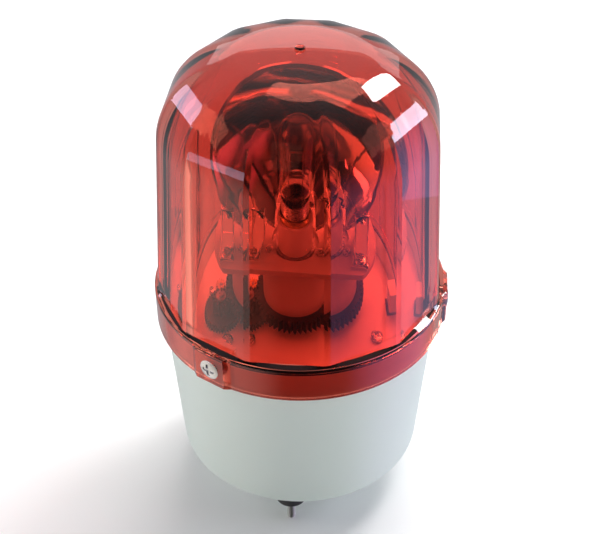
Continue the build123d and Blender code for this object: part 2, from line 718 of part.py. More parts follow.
with BuildPart() as bulb_cap:
    with BuildSketch(Plane.XY.offset(z_cap)):
        Circle(CAP_R)
    extrude(amount=CAP_H)
    with BuildSketch(Plane.XY.offset(z_cap + CAP_WALL)):
        Circle(CAP_R - CAP_WALL)
    extrude(amount=CAP_H, mode=Mode.SUBTRACT)
    with BuildSketch(Plane.XY.offset(z_cap)):
        Circle(CONTACT_R)
    extrude(amount=-FILAMENT_R)
    with BuildSketch(Plane.YZ.offset(CAP_R - CAP_WALL)):
        with Locations((0, z_cap + PIN_LIFT)):
            Circle(PIN_R)
    extrude(amount=socket_r - CAP_R + CAP_WALL)
    with BuildSketch(Plane.YZ.offset(-CAP_R + CAP_WALL)):
        with Locations((0, z_cap + PIN_LIFT)):
            Circle(PIN_R)
    extrude(amount=-socket_r + CAP_R - CAP_WALL)
pieces["bulb_cap"] = bulb_cap


def glass_section(inset):
    """Half outline of the bulb's envelope, moved in by a wall: neck, swell and round top."""
    z_neck = z_cap_top - GLASS_SUNK
    z_swell = z_cap_top + glass_neck_r / 2
    z_round = z_bulb_top - GLASS_R
    radius = GLASS_R - inset
    with BuildSketch(Plane.XZ) as section:
        with BuildLine():
            Polyline(
                (0, z_bulb_top - inset),
                (0, z_neck + inset),
                (glass_neck_r - inset, z_neck + inset),
                (glass_neck_r - inset, z_cap_top),
                (radius, z_swell),
                (radius, z_round),
            )
            ThreePointArc(
                (radius, z_round),
                (radius * sin(pi / 4), z_round + radius * cos(pi / 4)),
                (0, z_bulb_top - inset),
            )
        make_face()
    return section.sketch


glass_outer = glass_section(0)
glass_inner = glass_section(GLASS_WALL)
with BuildPart() as bulb_glass:
    revolve(glass_outer, axis=Axis.Z)
    revolve(glass_inner, axis=Axis.Z, mode=Mode.SUBTRACT)
pieces["bulb_glass"] = bulb_glass

z_stem = z_cap_top - GLASS_SUNK + GLASS_WALL
with BuildPart() as bulb_filament:
    with BuildSketch(Plane.XY.offset(z_stem)):
        with Locations((-FILAMENT_W / 2, 0), (FILAMENT_W / 2, 0)):
            Circle(LEAD_WIRE_R)
    extrude(amount=z_focus - z_stem)
    with BuildSketch(Plane.YZ):
        with Locations((0, z_focus)):
            Circle(FILAMENT_R)
    extrude(amount=FILAMENT_W / 2 + FILAMENT_R, both=True)
pieces["bulb_filament"] = bulb_filament

# ------------------------------------------------------------------------------------------- gears
ring_web_r = hub_r + SLIP_GAP
ring_outline = gear_outline(Plane.XY.offset(z_ring), RING_MODULE, RING_TEETH, IDLER_TURN)
with BuildPart() as ring_gear:
    extrude(ring_outline, amount=RING_FACE)
    with BuildSketch(Plane.XY.offset(z_ring)):
        Circle(ring_web_r)
    extrude(amount=RING_FACE, mode=Mode.SUBTRACT)
    with BuildSketch(Plane.XY.offset(z_ring)):
        Circle(DRUM_R)
    extrude(amount=RING_FACE / 2, mode=Mode.SUBTRACT)
    with Locations(*[(x, y, z_drum) for x, y in ring_screw_xy]):
        Hole(SMALL_SCREW_R + RUN_GAP)
pieces["ring_gear"] = ring_gear
pieces["ring_gear_screws"] = pan_screws(ring_screw_xy, z_ring + RING_FACE / 2, way=-1)

# compound idler: a small pinion in the ring gear, over a wheel that the motor drives
pinion_outline = gear_outline(
    Plane(origin=(*idler_xy, z_pinion)), RING_MODULE, PINION_TEETH, IDLER_TURN + 180 + 180 / PINION_TEETH
)
wheel_outline = gear_outline(Plane(origin=(*idler_xy, z_wheel)), WHEEL_MODULE, WHEEL_TEETH, mesh_turn)
with BuildPart() as idler_gear:
    extrude(wheel_outline, amount=WHEEL_FACE)
    extrude(pinion_outline, amount=z_drum - z_pinion)
    with Locations((*idler_xy, z_drum)):
        Hole(IDLER_PIN_R + RUN_GAP)
pieces["idler_gear"] = idler_gear
pieces["idler_washer"] = standing_ring(
    Plane(origin=(*idler_xy, z_deck)), 2 * IDLER_PIN_R, IDLER_PIN_R + RUN_GAP, IDLER_LIFT - RUN_GAP
)

z_idler_clip = z_drum + 2 * RUN_GAP
z_pin_top = z_idler_clip + 2 * CLIP_T
pin_groove_r = IDLER_PIN_R * 0.7
with BuildPart() as idler_pin:
    with BuildSketch(Plane(origin=(*idler_xy, z_deck_under - IDLER_BOSS_H))):
        Circle(IDLER_PIN_R)
    extrude(amount=z_pin_top - z_deck_under + IDLER_BOSS_H)
    with BuildSketch(Plane(origin=(*idler_xy, z_idler_clip))):
        Circle(2 * IDLER_PIN_R)
        Circle(pin_groove_r, mode=Mode.SUBTRACT)
    extrude(amount=CLIP_T, mode=Mode.SUBTRACT)
    chamfer(idler_pin.edges().filter_by(GeomType.CIRCLE).group_by(Axis.Z)[-1], IDLER_PIN_R / 5)
pieces["idler_pin"] = idler_pin

with BuildPart() as idler_clip:
    with BuildSketch(Plane(origin=(*idler_xy, z_idler_clip + RUN_GAP))):
        Circle(2 * IDLER_PIN_R)
        Circle(pin_groove_r + PRESS_GAP, mode=Mode.SUBTRACT)
        with Locations((0, IDLER_PIN_R)):
            Rectangle(pin_groove_r, 2 * IDLER_PIN_R, mode=Mode.SUBTRACT)
    extrude(amount=CLIP_T - 2 * RUN_GAP)
pieces["idler_clip"] = idler_clip

motor_pinion_outline = gear_outline(
    Plane(origin=(*motor_xy, z_wheel)), WHEEL_MODULE, PINION_TEETH, mesh_turn + 180 + 180 / PINION_TEETH
)
with BuildPart() as motor_pinion:
    extrude(motor_pinion_outline, amount=WHEEL_FACE)
    with Locations((*motor_xy, z_wheel + WHEEL_FACE)):
        Hole(MOTOR_SHAFT_R + PRESS_GAP)
pieces["motor_pinion"] = motor_pinion

# ------------------------------------------------------------------------------------------- rotor
# the drum is open below, and its hub runs on two bushes round the column
with BuildPart() as rotor_drum:
    with BuildSketch(Plane.XY.offset(z_drum)):
        Circle(DRUM_R)
        Circle(DRUM_R - DRUM_WALL, mode=Mode.SUBTRACT)
        with Locations(*drum_screw_xy, *ring_screw_xy):
            Circle(SMALL_HEAD_R)
    extrude(amount=DRUM_H)
    with BuildSketch(Plane.XY.offset(z_drum_top)):
        Circle(DRUM_R)
    extrude(amount=-DRUM_TOP_T)
    with BuildSketch(Plane.XY.offset(z_hub)):
        Circle(hub_r)
    extrude(amount=z_drum_top - z_hub)
    with Locations((0, 0, z_drum_top)):
        Hole(hub_bore_r)
    with Locations(*[(x, y, z_drum_top) for x, y in drum_screw_xy]):
        Hole(SMALL_SCREW_R + PRESS_GAP, SMALL_SCREW_L)
    with Locations(*[Location((x, y, z_drum), (180, 0, 0)) for x, y in ring_screw_xy]):
        Hole(SMALL_SCREW_R + PRESS_GAP, SMALL_SCREW_L)
pieces["rotor_drum"] = rotor_drum

bush_r = hub_bore_r - PRESS_GAP
bush_bore_r = column_r + RUN_GAP
pieces["lower_bush"] = standing_ring(Plane.XY.offset(z_hub), bush_r, bush_bore_r, BUSH_L)
pieces["upper_bush"] = standing_ring(Plane.XY.offset(z_drum_top - BUSH_L), bush_r, bush_bore_r, BUSH_L)

with BuildPart() as reflector_plate:
    with BuildSketch(Plane.XY.offset(z_drum_top)):
        Circle(PLATE_R)
        Rectangle(2 * PLATE_R, PLATE_D, mode=Mode.INTERSECT)
        Circle(hub_r, mode=Mode.SUBTRACT)
        with Locations(*drum_screw_xy, *mirror_screw_xy):
            Circle(SMALL_SCREW_R + RUN_GAP, mode=Mode.SUBTRACT)
    extrude(amount=PLATE_T)
    fillet(reflector_plate.edges().filter_by(Axis.Z), PLATE_T)
pieces["reflector_plate"] = reflector_plate
pieces["plate_screws"] = pan_screws(drum_screw_xy, z_plate)

# a parabola is exactly a quadratic curve whose middle point lies level with its vertex
mirror_vertex_y = MIRROR_FOCUS
mirror_mouth_y = MIRROR_FOCUS - MIRROR_R**2 / (4 * MIRROR_FOCUS)
z_leg_top = z_focus - sqrt(MIRROR_R**2 - LEG_X**2) + LEG_W / 2
with BuildPart() as reflector:
    with BuildSketch(Plane.XY.offset(z_plate + PAD_T)):
        with Locations((-LEG_X, mirror_mouth_y + LEG_T / 2), (LEG_X, mirror_mouth_y + LEG_T / 2)):
            Rectangle(LEG_W, LEG_T)
    extrude(amount=z_leg_top - z_plate - PAD_T)
    with BuildSketch(Plane.XY.offset(z_focus)):
        with BuildLine():
            Bezier((0, mirror_vertex_y), (MIRROR_R / 2, mirror_vertex_y), (MIRROR_R, mirror_mouth_y))
            Line((MIRROR_R, mirror_mouth_y), (0, mirror_mouth_y))
            Line((0, mirror_mouth_y), (0, mirror_vertex_y))
        make_face()
    revolve(axis=Axis((0, 0, z_focus), (0, 1, 0)), mode=Mode.SUBTRACT)
    with BuildSketch(Plane.XY.offset(z_focus)):
        with BuildLine():
            Bezier((0, mirror_vertex_y), (MIRROR_R / 2, mirror_vertex_y), (MIRROR_R, mirror_mouth_y))
            Polyline(
                (MIRROR_R, mirror_mouth_y),
                (MIRROR_R + MIRROR_LIP, mirror_mouth_y),
                (MIRROR_R + MIRROR_LIP, mirror_mouth_y + MIRROR_T),
                (MIRROR_R, mirror_mouth_y + MIRROR_T),
            )
            Bezier(
                (MIRROR_R, mirror_mouth_y + MIRROR_T),
                (MIRROR_R / 2, mirror_vertex_y + MIRROR_T),
                (0, mirror_vertex_y + MIRROR_T),
            )
            Line((0, mirror_vertex_y + MIRROR_T), (0, mirror_vertex_y))
        make_face()
    revolve(axis=Axis((0, 0, z_focus), (0, 1, 0)))
    with BuildSketch(Plane.XY.offset(z_plate)):
        with Locations(
            (-LEG_X, mirror_mouth_y + LEG_T - PAD_L / 2 - LEG_T / 2),
            (LEG_X, mirror_mouth_y + LEG_T - PAD_L / 2 - LEG_T / 2),
        ):
            Rectangle(LEG_W, PAD_L + LEG_T)
    extrude(amount=PAD_T)
    # room for the lamp, which stands still while the mirror goes round it
    with BuildSketch(Plane.XY.offset(z_plate)):
        Circle(hub_bore_r)
    extrude(amount=z_focus - z_plate - MIRROR_FOCUS / 2, mode=Mode.SUBTRACT)
    with Locations(*[(x, y, z_plate + PAD_T) for x, y in mirror_screw_xy]):
        Hole(SMALL_SCREW_R + RUN_GAP, PAD_T)
pieces["reflector"] = reflector
pieces["reflector_screws"] = pan_screws(
    mirror_screw_xy, z_plate + PAD_T, head_r=1.25 * SMALL_HEAD_R, length=PAD_T + PLATE_T
)

# ------------------------------------------------------------------------------------------- motor
z_motor_end = z_deck_under - MOTOR_L
motor_bore_r = MOTOR_R - MOTOR_WALL
with BuildPart() as motor_can:
    with BuildSketch(Plane(origin=(*motor_xy, z_deck_under))):
        Circle(MOTOR_R)
    extrude(amount=-MOTOR_L)
    with BuildSketch(Plane(origin=(*motor_xy, z_deck_under - MOTOR_WALL))):
        Circle(motor_bore_r)
    extrude(amount=-MOTOR_L, mode=Mode.SUBTRACT)
    with Locations((*motor_xy, z_deck_under)):
        Hole(MOTOR_SHAFT_R + RUN_GAP)
    with Locations(*[(x, y, z_deck_under) for x, y in motor_screw_xy]):
        Hole(SMALL_SCREW_R + PRESS_GAP)
pieces["motor_can"] = motor_can
pieces["motor_screws"] = pan_screws(motor_screw_xy, z_deck, length=DECK_T + 2 * MOTOR_WALL)
pieces["motor_end_cap"] = standing_ring(
    Plane(origin=(*motor_xy, z_motor_end)), motor_bore_r - PRESS_GAP, MOTOR_SHAFT_R + RUN_GAP, MOTOR_CAP_T
)

magnet_r = motor_bore_r - PRESS_GAP
z_magnet = z_motor_end + MOTOR_CAP_T + MAGNET_T
with BuildPart() as motor_magnets:
    with BuildSketch(Plane(origin=(*motor_xy, z_magnet))):
        Circle(magnet_r)
        Circle(magnet_r - MAGNET_T, mode=Mode.SUBTRACT)
        Rectangle(2 * magnet_r, 2 * magnet_r * cos(radians(MAGNET_SPAN / 2)), mode=Mode.SUBTRACT)
    extrude(amount=MAGNET_H)
pieces["motor_magnets"] = motor_magnets

armature_r = magnet_r - MAGNET_T - ARMATURE_GAP
with BuildPart() as motor_armature:
    with BuildSketch(Plane(origin=(*motor_xy, z_magnet + (MAGNET_H - ARMATURE_H) / 2))):
        Circle(armature_r)
        with PolarLocations(armature_r * 0.75, 3):
            Rectangle(armature_r * 0.7, MAGNET_T, mode=Mode.SUBTRACT)
        Circle(MOTOR_SHAFT_R + PRESS_GAP, mode=Mode.SUBTRACT)
    extrude(amount=ARMATURE_H)
pieces["motor_armature"] = motor_armature

with BuildPart() as motor_shaft:
    with BuildSketch(Plane(origin=(*motor_xy, z_motor_end))):
        Circle(MOTOR_SHAFT_R)
    extrude(amount=z_wheel + WHEEL_FACE - z_motor_end)
    chamfer(motor_shaft.edges().filter_by(GeomType.CIRCLE), MOTOR_SHAFT_R / 5)
pieces["motor_shaft"] = motor_shaft

# ----------------------------------------------------------------------------------------- sounder
# a cup on the floor whose disc speaks down through the holes
with BuildPart() as sounder_housing:
    with BuildSketch(Plane.XY.offset(z_floor)):
        Circle(SOUNDER_R)
    extrude(amount=SOUNDER_H)
    with BuildSketch(Plane.XY.offset(z_floor)):
        Circle(SOUNDER_R - SOUNDER_WALL)
    extrude(amount=DISC_LIFT + DISC_T, mode=Mode.SUBTRACT)
    with BuildSketch(Plane.XY.offset(z_floor)):
        Circle(SOUNDER_R - 2 * SOUNDER_WALL)
    extrude(amount=SOUNDER_H - SOUNDER_WALL, mode=Mode.SUBTRACT)
    with BuildSketch(Plane.XY.offset(z_floor + EAR_LIFT)):
        with Locations(*ear_xy):
            Circle(EAR_R)
        Rectangle(2 * EAR_X, 2 * EAR_R)
        Circle(SOUNDER_R - SOUNDER_WALL / 2, mode=Mode.SUBTRACT)
    extrude(amount=EAR_T)
    with Locations(*[(x, y, z_floor + EAR_LIFT + EAR_T) for x, y in ear_xy]):
        Hole(SMALL_SCREW_R + RUN_GAP, EAR_T)
pieces["sounder_housing"] = sounder_housing
pieces["sounder_screws"] = pan_screws(ear_xy, z_floor + EAR_LIFT + EAR_T, length=EAR_T + SMALL_SCREW_L - 1)

z_disc = z_floor + DISC_LIFT
with BuildPart() as sounder_disc:
    with BuildSketch(Plane.XY.offset(z_disc)):
        Circle(SOUNDER_R - SOUNDER_WALL - PRESS_GAP)
    extrude(amount=DISC_T)
pieces["sounder_disc"] = sounder_disc

with BuildPart() as sounder_element:
    with BuildSketch(Plane.XY.offset(z_disc + DISC_T)):
        Circle(ELEMENT_R)
    extrude(amount=ELEMENT_T)
pieces["sounder_element"] = sounder_element

# ----------------------------------------------------------------------------------- circuit board
# it hangs from the deck's standoffs, with its components underneath
z_board = z_deck_under - BOARD_DROP - BOARD_T
with BuildPart() as circuit_board:
    with BuildSketch(Plane.XY.offset(z_board)):
        with Locations((BOARD_X, BOARD_Y)):
            RectangleRounded(BOARD_W, BOARD_D, BOARD_INSET / 2)
        with Locations(*board_screw_xy):
            Circle(SMALL_SCREW_R + RUN_GAP, mode=Mode.SUBTRACT)
    extrude(amount=BOARD_T)
pieces["circuit_board"] = circuit_board
pieces["board_screws"] = pan_screws(board_screw_xy, z_board, way=-1)


def board_component(x, y, width, depth, height, edge):
    """Block that hangs under the board, with its corners rounded by edge."""
    with BuildPart() as component:
        with BuildSketch(Plane.XY.offset(z_board)):
            with Locations((BOARD_X + x, BOARD_Y + y)):
                RectangleRounded(width, depth, edge)
        extrude(amount=-height)
        fillet(component.edges().group_by(Axis.Z)[0], edge / 2)
    return component


pieces["transformer"] = board_component(6, 4, 18, 16, 15, 1.0)
pieces["smoothing_capacitor"] = board_component(-11, 9, 10, 10, 16, 4.9)
pieces["terminal_block"] = board_component(5, -11, 15, 8, 10, 0.6)
pieces["tone_chip"] = board_component(-11, -5, 10, 7, 3, 0.3)

# ------------------------------------------------------------------------------------------- output
os.makedirs("parts", exist_ok=True)
for label, piece in pieces.items():
    piece.part.label = label
    export_step(piece.part, f"parts/{label}.step")
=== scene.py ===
"""Finishes of a revolving warning light: red faceted dome, mirror, lamp, white housing, studs and feet.

Metres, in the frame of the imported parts. Every new surface is a function of two parameters on a grid.
"""

import json

import bpy
import numpy as np
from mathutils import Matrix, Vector


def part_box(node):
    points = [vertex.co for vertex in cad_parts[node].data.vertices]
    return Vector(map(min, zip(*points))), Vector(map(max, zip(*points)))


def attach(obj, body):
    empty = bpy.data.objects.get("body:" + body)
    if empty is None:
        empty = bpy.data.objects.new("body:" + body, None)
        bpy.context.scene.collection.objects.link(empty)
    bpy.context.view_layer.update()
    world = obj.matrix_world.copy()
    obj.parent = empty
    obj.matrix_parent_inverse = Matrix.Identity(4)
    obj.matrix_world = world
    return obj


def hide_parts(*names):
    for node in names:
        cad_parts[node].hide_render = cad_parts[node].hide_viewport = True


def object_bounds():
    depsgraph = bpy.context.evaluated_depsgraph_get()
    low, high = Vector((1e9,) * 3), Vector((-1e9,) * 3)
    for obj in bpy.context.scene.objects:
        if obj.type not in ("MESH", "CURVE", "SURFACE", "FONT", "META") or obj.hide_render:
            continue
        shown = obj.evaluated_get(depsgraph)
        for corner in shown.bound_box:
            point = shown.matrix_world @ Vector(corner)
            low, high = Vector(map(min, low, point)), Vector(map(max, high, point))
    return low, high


bl_info = {
    "name": "Revolving warning light",
    "version": (1, 0, 0),
    "blender": (4, 5, 0),
    "location": "View3D > Sidebar > Warning light",
    "description": "Builds the visible pieces and finishes of a revolving warning light",
    "category": "Add Mesh",
}

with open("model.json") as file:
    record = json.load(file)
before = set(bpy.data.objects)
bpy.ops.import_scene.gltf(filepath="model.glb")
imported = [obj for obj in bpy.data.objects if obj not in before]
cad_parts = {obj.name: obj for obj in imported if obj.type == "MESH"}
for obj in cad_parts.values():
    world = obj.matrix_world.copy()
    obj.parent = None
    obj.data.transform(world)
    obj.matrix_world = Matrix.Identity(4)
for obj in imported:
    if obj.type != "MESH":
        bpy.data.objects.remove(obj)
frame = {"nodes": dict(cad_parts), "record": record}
NODES = frame["nodes"]
CAD_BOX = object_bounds()
MM = 0.001
PI = np.pi


def node_low(name):
    """Lowest corner of a CAD node at rest."""
    return np.array(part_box(name)[0])


def node_high(name):
    """Highest corner of a CAD node at rest."""
    return np.array(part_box(name)[1])


def node_middle(name):
    """Middle of a CAD node's box at rest."""
    return (node_low(name) + node_high(name)) / 2


SKIRT_LOW_Z = node_low("dome_lens")[2]
FOOT_Z = node_low("rubber_feet")[2]
LIGHT_LOW_Z = node_low("mounting_studs")[2]
MIRROR_Z = node_high("reflector")[2] - node_high("reflector")[0]

SKIRT_R, SKIRT_H, SKIRT_WALL, SKIRT_EDGE = 51.0 * MM, 13.0 * MM, 2.4 * MM, 0.6 * MM
LUG_HALF_WIDTH = 6.0 * MM
GATE_MARK_R = 1.7 * MM
STUD_R, STUD_HEX, STUD_HEAD_H, THREAD_DEPTH = 1.55 * MM, 5.5 * MM, 2.2 * MM, 0.3 * MM
FOOT_R, FOOT_BORE_R, FOOT_TIP_R = 5.65 * MM, 1.56 * MM, 3.9 * MM
MIRROR_LIP, LAMP_WAY_R = 1.5 * MM, 11.05 * MM
LEG_X, LEG_WIDTH, LEG_ROUNDING = 20.5 * MM, 8.0 * MM, 0.4 * MM
GLASS_WALL, GLASS_NECK_R, GLASS_FLARE_H = 0.8 * MM, 7.0 * MM, 5.0 * MM
FILAMENT_REACH, COIL_R, COIL_WIRE_R, LEAD_R, BRIDGE_R = 3.0 * MM, 0.42 * MM, 0.1 * MM, 0.22 * MM, 0.45 * MM
CAMERA_LENS, CAMERA_SENSOR, CAMERA_SHIFT = 69.906, 36.0, -0.006


# ------------------------------------------------------------------------------------ mesh helpers
def polar_columns(count):
    """Angles of a full turn, without the repeated last one."""
    return np.arange(count) * 2 * PI / count


def mesh_piece(name, points, faces, sharp=40.0):
    """Makes one object at the origin from vertex and face arrays; edges over sharp degrees stay crisp."""
    mesh = bpy.data.meshes.new(name)
    mesh.from_pydata(points.reshape(-1, 3).tolist(), [], [list(face) for face in faces])
    mesh.validate()
    piece = bpy.data.objects.new(name, mesh)
    bpy.context.collection.objects.link(piece)
    mesh.shade_smooth()
    mesh.set_sharp_from_angle(angle=np.radians(sharp))
    return piece


def grid_faces(rows, columns, wrap_rows=False, start=0):
    """Quads of a grid whose columns close on themselves, and whose rows may too."""
    row_steps = rows if wrap_rows else rows - 1
    r, c = np.meshgrid(np.arange(row_steps), np.arange(columns), indexing="ij")
    r2, c2 = (r + 1) % rows, (c + 1) % columns
    quads = np.stack([r * columns + c, r * columns + c2, r2 * columns + c2, r2 * columns + c], axis=-1)
    return (quads.reshape(-1, 4) + start).tolist()


def closing_fans(rows, columns, low, high):
    """Triangles that close a grid's first row on the point low, and its last row on the point high."""
    last = (rows - 1) * columns
    fans = [[low, (c + 1) % columns, c] for c in range(columns)]
    return fans + [[high, last + c, last + (c + 1) % columns] for c in range(columns)]


def turned_points(profile, columns, centre=(0.0, 0.0)):
    """Grid of a profile (radius, height) carried round the vertical line through centre."""
    profile = np.asarray(profile, float)
    turns = polar_columns(columns)
    radius = profile[:, 0][:, None]
    x = centre[0] + radius * np.cos(turns)
    y = centre[1] + radius * np.sin(turns)
    z = np.repeat(profile[:, 1][:, None], columns, axis=1)
    return np.stack([x, y, z], axis=-1)


def turned_ring(profile, columns=128, centre=(0.0, 0.0)):
    """Closed ring: a closed profile that never meets the axis, listed anticlockwise in (radius, height)."""
    points = turned_points(profile, columns, centre)
    return points.reshape(-1, 3), grid_faces(len(profile), columns, wrap_rows=True)


def turned_solid(profile, columns=96, centre=(0.0, 0.0)):
    """Solid of turning: the profile runs upwards outside the axis, and both ends close on the axis."""
    profile = np.asarray(profile, float)
    body = turned_points(profile, columns, centre).reshape(-1, 3)
    low = [centre[0], centre[1], profile[0, 1]]
    high = [centre[0], centre[1], profile[-1, 1]]
    points = np.vstack([body, [low, high]])
    faces = grid_faces(len(profile), columns)
    return points, faces + closing_fans(len(profile), columns, len(body), len(body) + 1)


def arc(centre, radius, first, last, count):
    """Points of an arc in (radius, height), with angles in degrees from outwards."""
    angles = np.radians(np.linspace(first, last, count))
    return np.stack([centre[0] + radius * np.cos(angles), centre[1] + radius * np.sin(angles)], axis=-1)


def joined(parts):
    """Vertices and faces of several (points, faces) pairs as one pair."""
    points, faces, start = [], [], 0
    for part_points, part_faces in parts:
        points.append(part_points.reshape(-1, 3))
        faces += [[i + start for i in face] for face in part_faces]
        start += len(points[-1])
    return np.vstack(points), faces


# -------------------------------------------------------------------------------------- materials
class Finish:
    """Small builder of a node material that ends in one Principled shader."""

    def __init__(self, name, colour, roughness=0.4, metallic=0.0, **sockets):
        self.material = bpy.data.materials.new(name + "_finish")
        self.material.use_nodes = True
        self.tree = self.material.node_tree
        self.tree.nodes.clear()
        self.output = self.tree.nodes.new("ShaderNodeOutputMaterial")
        self.shader = self.tree.nodes.new("ShaderNodeBsdfPrincipled")
        self.shader.inputs["Base Color"].default_value = (*colour, 1.0)
        self.shader.inputs["Roughness"].default_value = roughness
        self.shader.inputs["Metallic"].default_value = metallic
        for label, value in sockets.items():
            self.shader.inputs[label.replace("_", " ")].default_value = value
        self.tree.links.new(self.shader.outputs[0], self.output.inputs["Surface"])
        self.where = self.tree.nodes.new("ShaderNodeTexCoord").outputs["Object"]
        self.colour = colour

    def link(self, source, target):
        """Joins two sockets."""
        self.tree.links.new(source, target)

    def stretched(self, scale):
        """Object coordinates with a scale for each axis."""
        mapping = self.tree.nodes.new("ShaderNodeMapping")
        mapping.inputs["Scale"].default_value = scale
        self.link(self.where, mapping.inputs["Vector"])
        return mapping.outputs[0]

    def noise(self, scale, detail=4.0, stretch=None):
        """Fractal noise with features about 1/scale metres wide."""
        node = self.tree.nodes.new("ShaderNodeTexNoise")
        node.inputs["Scale"].default_value = scale
        node.inputs["Detail"].default_value = detail
        self.link(self.stretched(stretch) if stretch else self.where, node.inputs["Vector"])
        return node.outputs["Fac"]

    def spread(self, source, low, high):
        """Maps the middle of a noise to a range."""
        node = self.tree.nodes.new("ShaderNodeMapRange")
        node.inputs["From Min"].default_value = 0.3
        node.inputs["From Max"].default_value = 0.7
        node.inputs["To Min"].default_value = low
        node.inputs["To Max"].default_value = high
        self.link(source, node.inputs["Value"])
        return node.outputs[0]

    def tint(self, source, other):
        """Blends the base colour towards another colour by a factor."""
        node = self.tree.nodes.new("ShaderNodeMix")
        node.data_type = "RGBA"
        node.inputs["A"].default_value = (*self.colour, 1.0)
        node.inputs["B"].default_value = (*other, 1.0)
        self.link(source, node.inputs["Factor"])
        self.link(node.outputs["Result"], self.shader.inputs["Base Color"])

    def rough(self, source, low, high):
        """Lets a noise move the roughness between two values."""
        self.link(self.spread(source, low, high), self.shader.inputs["Roughness"])

    def bump(self, source, depth):
        """Relief of a given depth in metres."""
        node = self.tree.nodes.new("ShaderNodeBump")
        node.inputs["Strength"].default_value = 1.0
        node.inputs["Distance"].default_value = depth
        self.link(source, node.inputs["Height"])
        self.link(node.outputs[0], self.shader.inputs["Normal"])


def let_lamps_through(finish, tint):
    """Lamps pass the clear wall unbent, tinted once at each face, so that what is inside is lit."""
    tree = finish.tree
    path = tree.nodes.new("ShaderNodeLightPath")
    clear = tree.nodes.new("ShaderNodeBsdfTransparent")
    clear.inputs["Color"].default_value = (*tint, 1.0)
    mix = tree.nodes.new("ShaderNodeMixShader")
    tree.links.new(path.outputs["Is Shadow Ray"], mix.inputs["Fac"])
    tree.links.new(finish.shader.outputs[0], mix.inputs[1])
    tree.links.new(clear.outputs[0], mix.inputs[2])
    tree.links.new(mix.outputs[0], finish.output.inputs["Surface"])


def moulded_plastic(name, colour, shade, roughness, grain=500.0, relief=0.000004):
    """Moulded plastic: faint cloudy colour, slight change of gloss and a very fine skin."""
    finish = Finish(name, colour, roughness, IOR=1.5)
    finish.tint(finish.spread(finish.noise(38.0), 0.0, 0.55), shade)
    finish.rough(finish.noise(90.0, 6.0), roughness * 0.8, roughness * 1.25)
    finish.bump(finish.noise(grain, 3.0), relief)
    return finish


def plated_metal(name, colour, shade, roughness, grain=(1.0, 1.0, 12.0)):
    """Plated or ground metal: patchy tint, streaked gloss and fine tool marks."""
    finish = Finish(name, colour, roughness, 1.0)
    finish.tint(finish.spread(finish.noise(260.0, 5.0), 0.0, 0.8), shade)
    finish.rough(finish.noise(420.0, 6.0, grain), roughness * 0.7, roughness * 1.5)
    finish.bump(finish.noise(900.0, 4.0, grain), 0.000006)
    return finish


def red_dome_plastic(settings):
    """Clear red plastic with slow waves in the moulded skin and faint rubbed patches."""
    finish = Finish("red_dome", tuple(settings.dome_red), 0.02, IOR=1.49)
    finish.shader.inputs["Transmission Weight"].default_value = 1.0
    finish.rough(finish.noise(140.0, 5.0), 0.0, 0.035)
    finish.bump(finish.noise(30.0, 1.0), 0.00002)
    let_lamps_through(finish, tuple(settings.dome_lamp_tint))
    return finish


